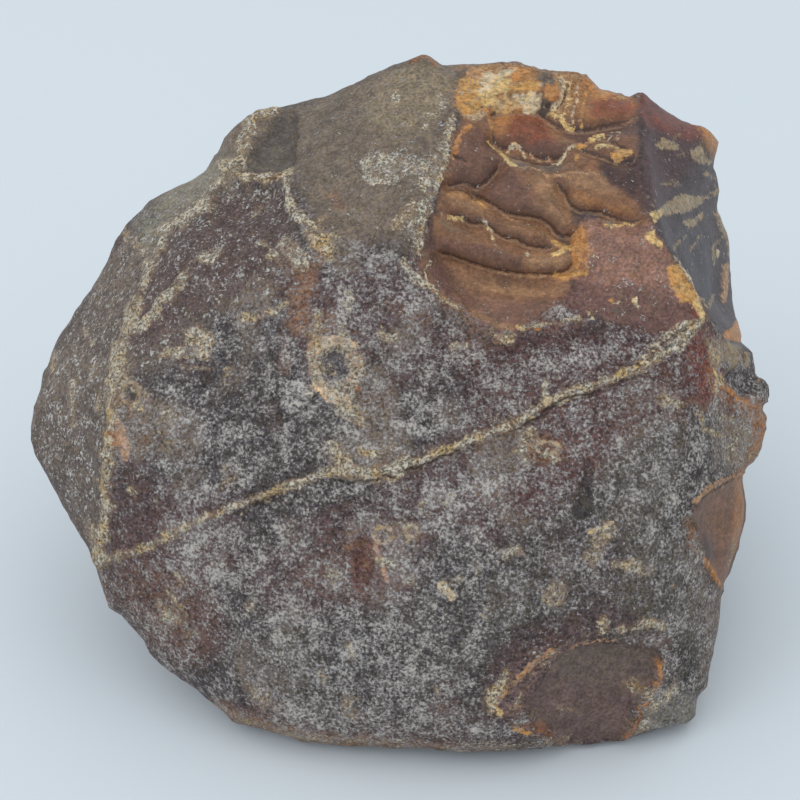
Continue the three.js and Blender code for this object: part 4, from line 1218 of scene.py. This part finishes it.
# a tint is a range of brightness; a share is how far an effect covers what is below it
stoneFinish = {
    "specular": 0.3,
    "dullRoughness": 0.8,
    "waxRoughness": 0.42,
    "bump": 0.8,
    "mottleTint": (0.78, 1.2),
    "fineTint": (0.4, 1.45),
    "grainLoss": -0.75,              # how much of the grain a full gloss takes away
    "coolHue": (0.95, 0.93, 1.07),
    "warmHue": (1.06, 1.0, 0.86),
    "streakTint": (0.76, 1.26),
    "streakShare": 0.8,
    "streakStretch": (0.6, 1.0, 1.0),
    "creaseWaver": 5.0,              # pixels
    # painted shade on the turned-down side of each ledge above its crease
    "underside": (0.10, 0.05, 0.04),
    "undersideShare": 0.5,
    "undersideFrom": (-11.0, -0.5),  # pixels below the crease over which the painted shade darkens
    "undersideTo": (0.8, 0.0),       # and ends
    # painted shade in the creases
    "crease": (0.045, 0.028, 0.024),
    "creaseShadeBand": (-0.4, 1.2),       # pixels below the crease, half width
    "creaseShadeShare": 0.6,
    "bandCore": 0.25,                # share of a band's half width that is full
    # painted highlight on the rim just below each crease
    "crest": (0.42, 0.26, 0.15),
    "crestBand": (2.2, 1.8),
    "crestShare": 0.45,
    "frostHaze": (0.24, 0.215, 0.21),
    "hazeShare": 0.85,
    "coolFrost": (0.58, 0.53, 0.51),
    "warmFrost": (0.64, 0.55, 0.43),
    "speckColor": (0.66, 0.62, 0.57),
    "speckShare": 0.9,
    "speckGain": 0.6,
    "speckOffset": -0.14,
    "flakeFray": 14.0,               # pixels
    "flakeEdge": (-0.5, 1.1),
    "flakeTint": (0.52, 1.24),
    "warmFlake": (1.08, 0.92, 0.72),
    "coolFlake": (0.98, 1.04, 1.2),
    "flakeShare": 0.85,
    "whiteCrust": (0.78, 0.70, 0.57),
    "warmCrust": (0.70, 0.46, 0.19),
    "crustShade": (0.12, 0.085, 0.06),
    "crustOffset": 0.45,
    "crustHueSwing": 3.5,
    "crustShare": 0.92,
    # painted shade along the cracks and creases
    "crack": (0.035, 0.025, 0.02),
    "crackShadeShare": 0.85,
    "frostLift": 0.15,               # bump in millimetres
    "speckLift": 0.2,
    "crustLift": 0.4,
    "fineLift": 0.14,
}
# grain size in millimetres, clumping, softness
grainMasks = {"frost": (0.36, 0.4, 0.18), "specks": (0.36, 0.5, 0.12), "crust": (0.5, 0.45, 0.16)}
# noise: lumps per millimetre, detail, roughness, distortion, and the part of its range that becomes 0 to 1
patterns = {
    "mottle": (0.3, 4.0, 0.65, 0.0, 0.3, 0.7),
    "hues": (0.55, 3.0, 0.6, 0.0, 0.35, 0.65),
    "fine": (1.3, 2.0, 0.7, 0.0, 0.32, 0.68),
    "streaks": (1.3, 4.0, 0.72, 0.0, 0.34, 0.66),
    "broken": (0.5, 3.0, 0.6, 0.0, 0.36, 0.56),
    "flakeGrain": (0.9, 5.0, 0.78, 0.0, 0.38, 0.62),
    "flakeHue": (0.45, 4.0, 0.7, 1.0, 0.38, 0.62),
    "crustFine": (1.4, 3.0, 0.75, 0.0, 0.36, 0.58),
}
# noise round 0 that moves an edge or a hue: lumps per millimetre, detail, roughness
wavers = {"crease": (0.9, 3.0, 0.65), "flake": (0.7, 5.0, 0.75), "crustHue": (0.45, 3.0, 0.7)}


def makeStoneMaterial():
    finish = stoneFinish
    material = bpy.data.materials.new("agateStone")
    material.use_nodes = True
    tree = material.node_tree
    shader = tree.nodes["Principled BSDF"]
    shader.inputs["Specular IOR Level"].default_value = finish["specular"]
    onPiece = node(tree, "ShaderNodeTexCoord").outputs["Object"]
    place = node(tree, "ShaderNodeVectorMath", {0: onPiece, "Scale": 1 / mm}, operation="SCALE").outputs[0]
    stretch = {0: place, 1: finish["streakStretch"]}
    lengthwise = node(tree, "ShaderNodeVectorMath", stretch, operation="MULTIPLY").outputs[0]
    grains = makeGrainGroup()

    def fromPoints(name, output):
        return node(tree, "ShaderNodeAttribute", attribute_name=name).outputs[output]

    value = {name: fromPoints(name, "Fac") for name in stoneValues}
    laid = {name: fromPoints(name, "Color") for name in stoneColors}

    def grainMask(name, amount):
        size, clumping, softness = grainMasks[name]
        values = {"Place": place, "Cover": amount, "Size": size, "Clumping": clumping, "Softness": softness}
        made = node(tree, "ShaderNodeGroup", values, node_tree=grains)
        return made.outputs["Mask"], made.outputs["Core"]

    def pattern(name, where=place):  # one of the noises, from 0 to 1
        *noise, low, high = patterns[name]
        return ramp(tree, cloud(tree, where, *noise), low, high)

    def waver(name, swing, base, clamp=False):  # a value moved by one of the noises round 0
        off = calc(tree, "SUBTRACT", cloud(tree, place, *wavers[name]), 0.5)
        return calc(tree, "MULTIPLY_ADD", off, finish[swing], base, clamp=clamp)

    def tint(share, name):  # a grey between two levels, to multiply by
        low, high = finish[name]
        return blendColor(tree, share, (low, low, low), (high, high, high))

    def layOver(color, mask, share, top):  # lays a colour over another
        return blendColor(tree, calc(tree, "MULTIPLY", mask, finish[share]), color, top)

    # the stone's own tones, with mottling, grain and streaks
    grainy = calc(tree, "MULTIPLY_ADD", value["gloss"], finish["grainLoss"], 1.0)
    fine = pattern("fine")
    color = multiply(tree, laid["paint"], tint(pattern("mottle"), "mottleTint"))
    hueTint = blendColor(tree, pattern("hues"), finish["coolHue"], finish["warmHue"])
    color = blendColor(tree, grainy, color, multiply(tree, color, hueTint))
    color = multiply(tree, color, blendColor(tree, grainy, (1, 1, 1), tint(fine, "fineTint")))
    streaked = multiply(tree, color, tint(pattern("streaks", lengthwise), "streakTint"))
    color = layOver(color, value["gloss"], "streakShare", streaked)

    # painted shade under the ledges and in their creases, and painted highlights on their crests
    below = waver("crease", "creaseWaver", value["belowCrease"])

    def bandAt(middle, half):  # 1 at a distance below the crease, 0 beyond half a width from it
        off = calc(tree, "ABSOLUTE", calc(tree, "SUBTRACT", below, middle))
        return ramp(tree, off, half, finish["bandCore"] * half)

    underside = calc(tree, "MULTIPLY", ramp(tree, below, *finish["undersideFrom"]),
                     ramp(tree, below, *finish["undersideTo"]))
    color = layOver(color, underside, "undersideShare", finish["underside"])
    color = layOver(color, bandAt(*finish["creaseShadeBand"]), "creaseShadeShare", finish["crease"])
    broken = calc(tree, "MULTIPLY", pattern("broken"), finish["crestShare"])
    crest = calc(tree, "MULTIPLY", bandAt(*finish["crestBand"]), broken)
    color = blendColor(tree, crest, color, finish["crest"])

    # frost and specks
    frostMask, frostCore = grainMask("frost", value["frost"])
    frostTone = blendColor(tree, value["warmth"], finish["coolFrost"], finish["warmFrost"])
    color = layOver(color, frostMask, "hazeShare", finish["frostHaze"])
    color = blendColor(tree, frostCore, color, frostTone)
    speckAmount = calc(tree, "MULTIPLY_ADD", value["specks"], finish["speckGain"], finish["speckOffset"])
    speckMask, _ = grainMask("specks", speckAmount)
    color = layOver(color, speckMask, "speckShare", finish["speckColor"])

    # flakes
    flakeMask = ramp(tree, waver("flake", "flakeFray", value["flakes"]), *finish["flakeEdge"])
    flakeTint = blendColor(tree, pattern("flakeHue"), finish["warmFlake"], finish["coolFlake"])
    flakeTone = multiply(tree, laid["flakePaint"], tint(pattern("flakeGrain", lengthwise), "flakeTint"))
    color = layOver(color, flakeMask, "flakeShare", multiply(tree, flakeTone, flakeTint))

    # crust, and painted shade along the cracks
    crustMask, _ = grainMask("crust", calc(tree, "ADD", value["crust"], finish["crustOffset"]))
    crustWarmth = waver("crustHue", "crustHueSwing", value["warmth"], clamp=True)
    crustTone = blendColor(tree, crustWarmth, finish["whiteCrust"], finish["warmCrust"])
    crustFine = pattern("crustFine")
    crustTone = blendColor(tree, crustFine, finish["crustShade"], crustTone)
    color = layOver(color, crustMask, "crustShare", crustTone)
    color = layOver(color, value["cracks"], "crackShadeShare", finish["crack"])
    tree.links.new(color, shader.inputs["Base Color"])

    wax = calc(tree, "MULTIPLY", value["gloss"], calc(tree, "SUBTRACT", 1.0, crustMask))
    span = finish["waxRoughness"] - finish["dullRoughness"]
    roughness = calc(tree, "MULTIPLY_ADD", wax, span, finish["dullRoughness"])
    tree.links.new(roughness, shader.inputs["Roughness"])

    crustGrain = calc(tree, "MULTIPLY", crustMask, crustFine)
    skinGrain = calc(tree, "MULTIPLY", fine, grainy)
    lift = calc(tree, "MULTIPLY", speckMask, finish["speckLift"])
    for part, share in ((frostCore, "frostLift"), (crustGrain, "crustLift"), (skinGrain, "fineLift")):
        lift = calc(tree, "MULTIPLY_ADD", part, finish[share], lift)
    bump = node(tree, "ShaderNodeBump", {"Strength": finish["bump"], "Distance": mm, "Height": lift})
    tree.links.new(bump.outputs["Normal"], shader.inputs["Normal"])
    return material


# the piece

print("piece")
mesh = bpy.data.meshes.new("agateStone")
mesh.from_pydata(points.tolist(), [], triangles.tolist())
mesh.polygons.foreach_set("use_smooth", np.ones(len(triangles), bool))
for name, field in stoneValues.items():
    mesh.attributes.new(name, "FLOAT", "POINT").data.foreach_set("value", field.astype(np.float32))
for name, field in stoneColors.items():
    opaque = np.hstack([field, np.ones((len(field), 1))]).astype(np.float32)
    mesh.attributes.new(name, "FLOAT_COLOR", "POINT").data.foreach_set("color", opaque.ravel())
mesh.materials.append(makeStoneMaterial())
mesh.update()
stone = bpy.data.objects.new("agateStone", mesh)
bpy.context.scene.collection.objects.link(stone)
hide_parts("agate_nodule")
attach(stone, "root")
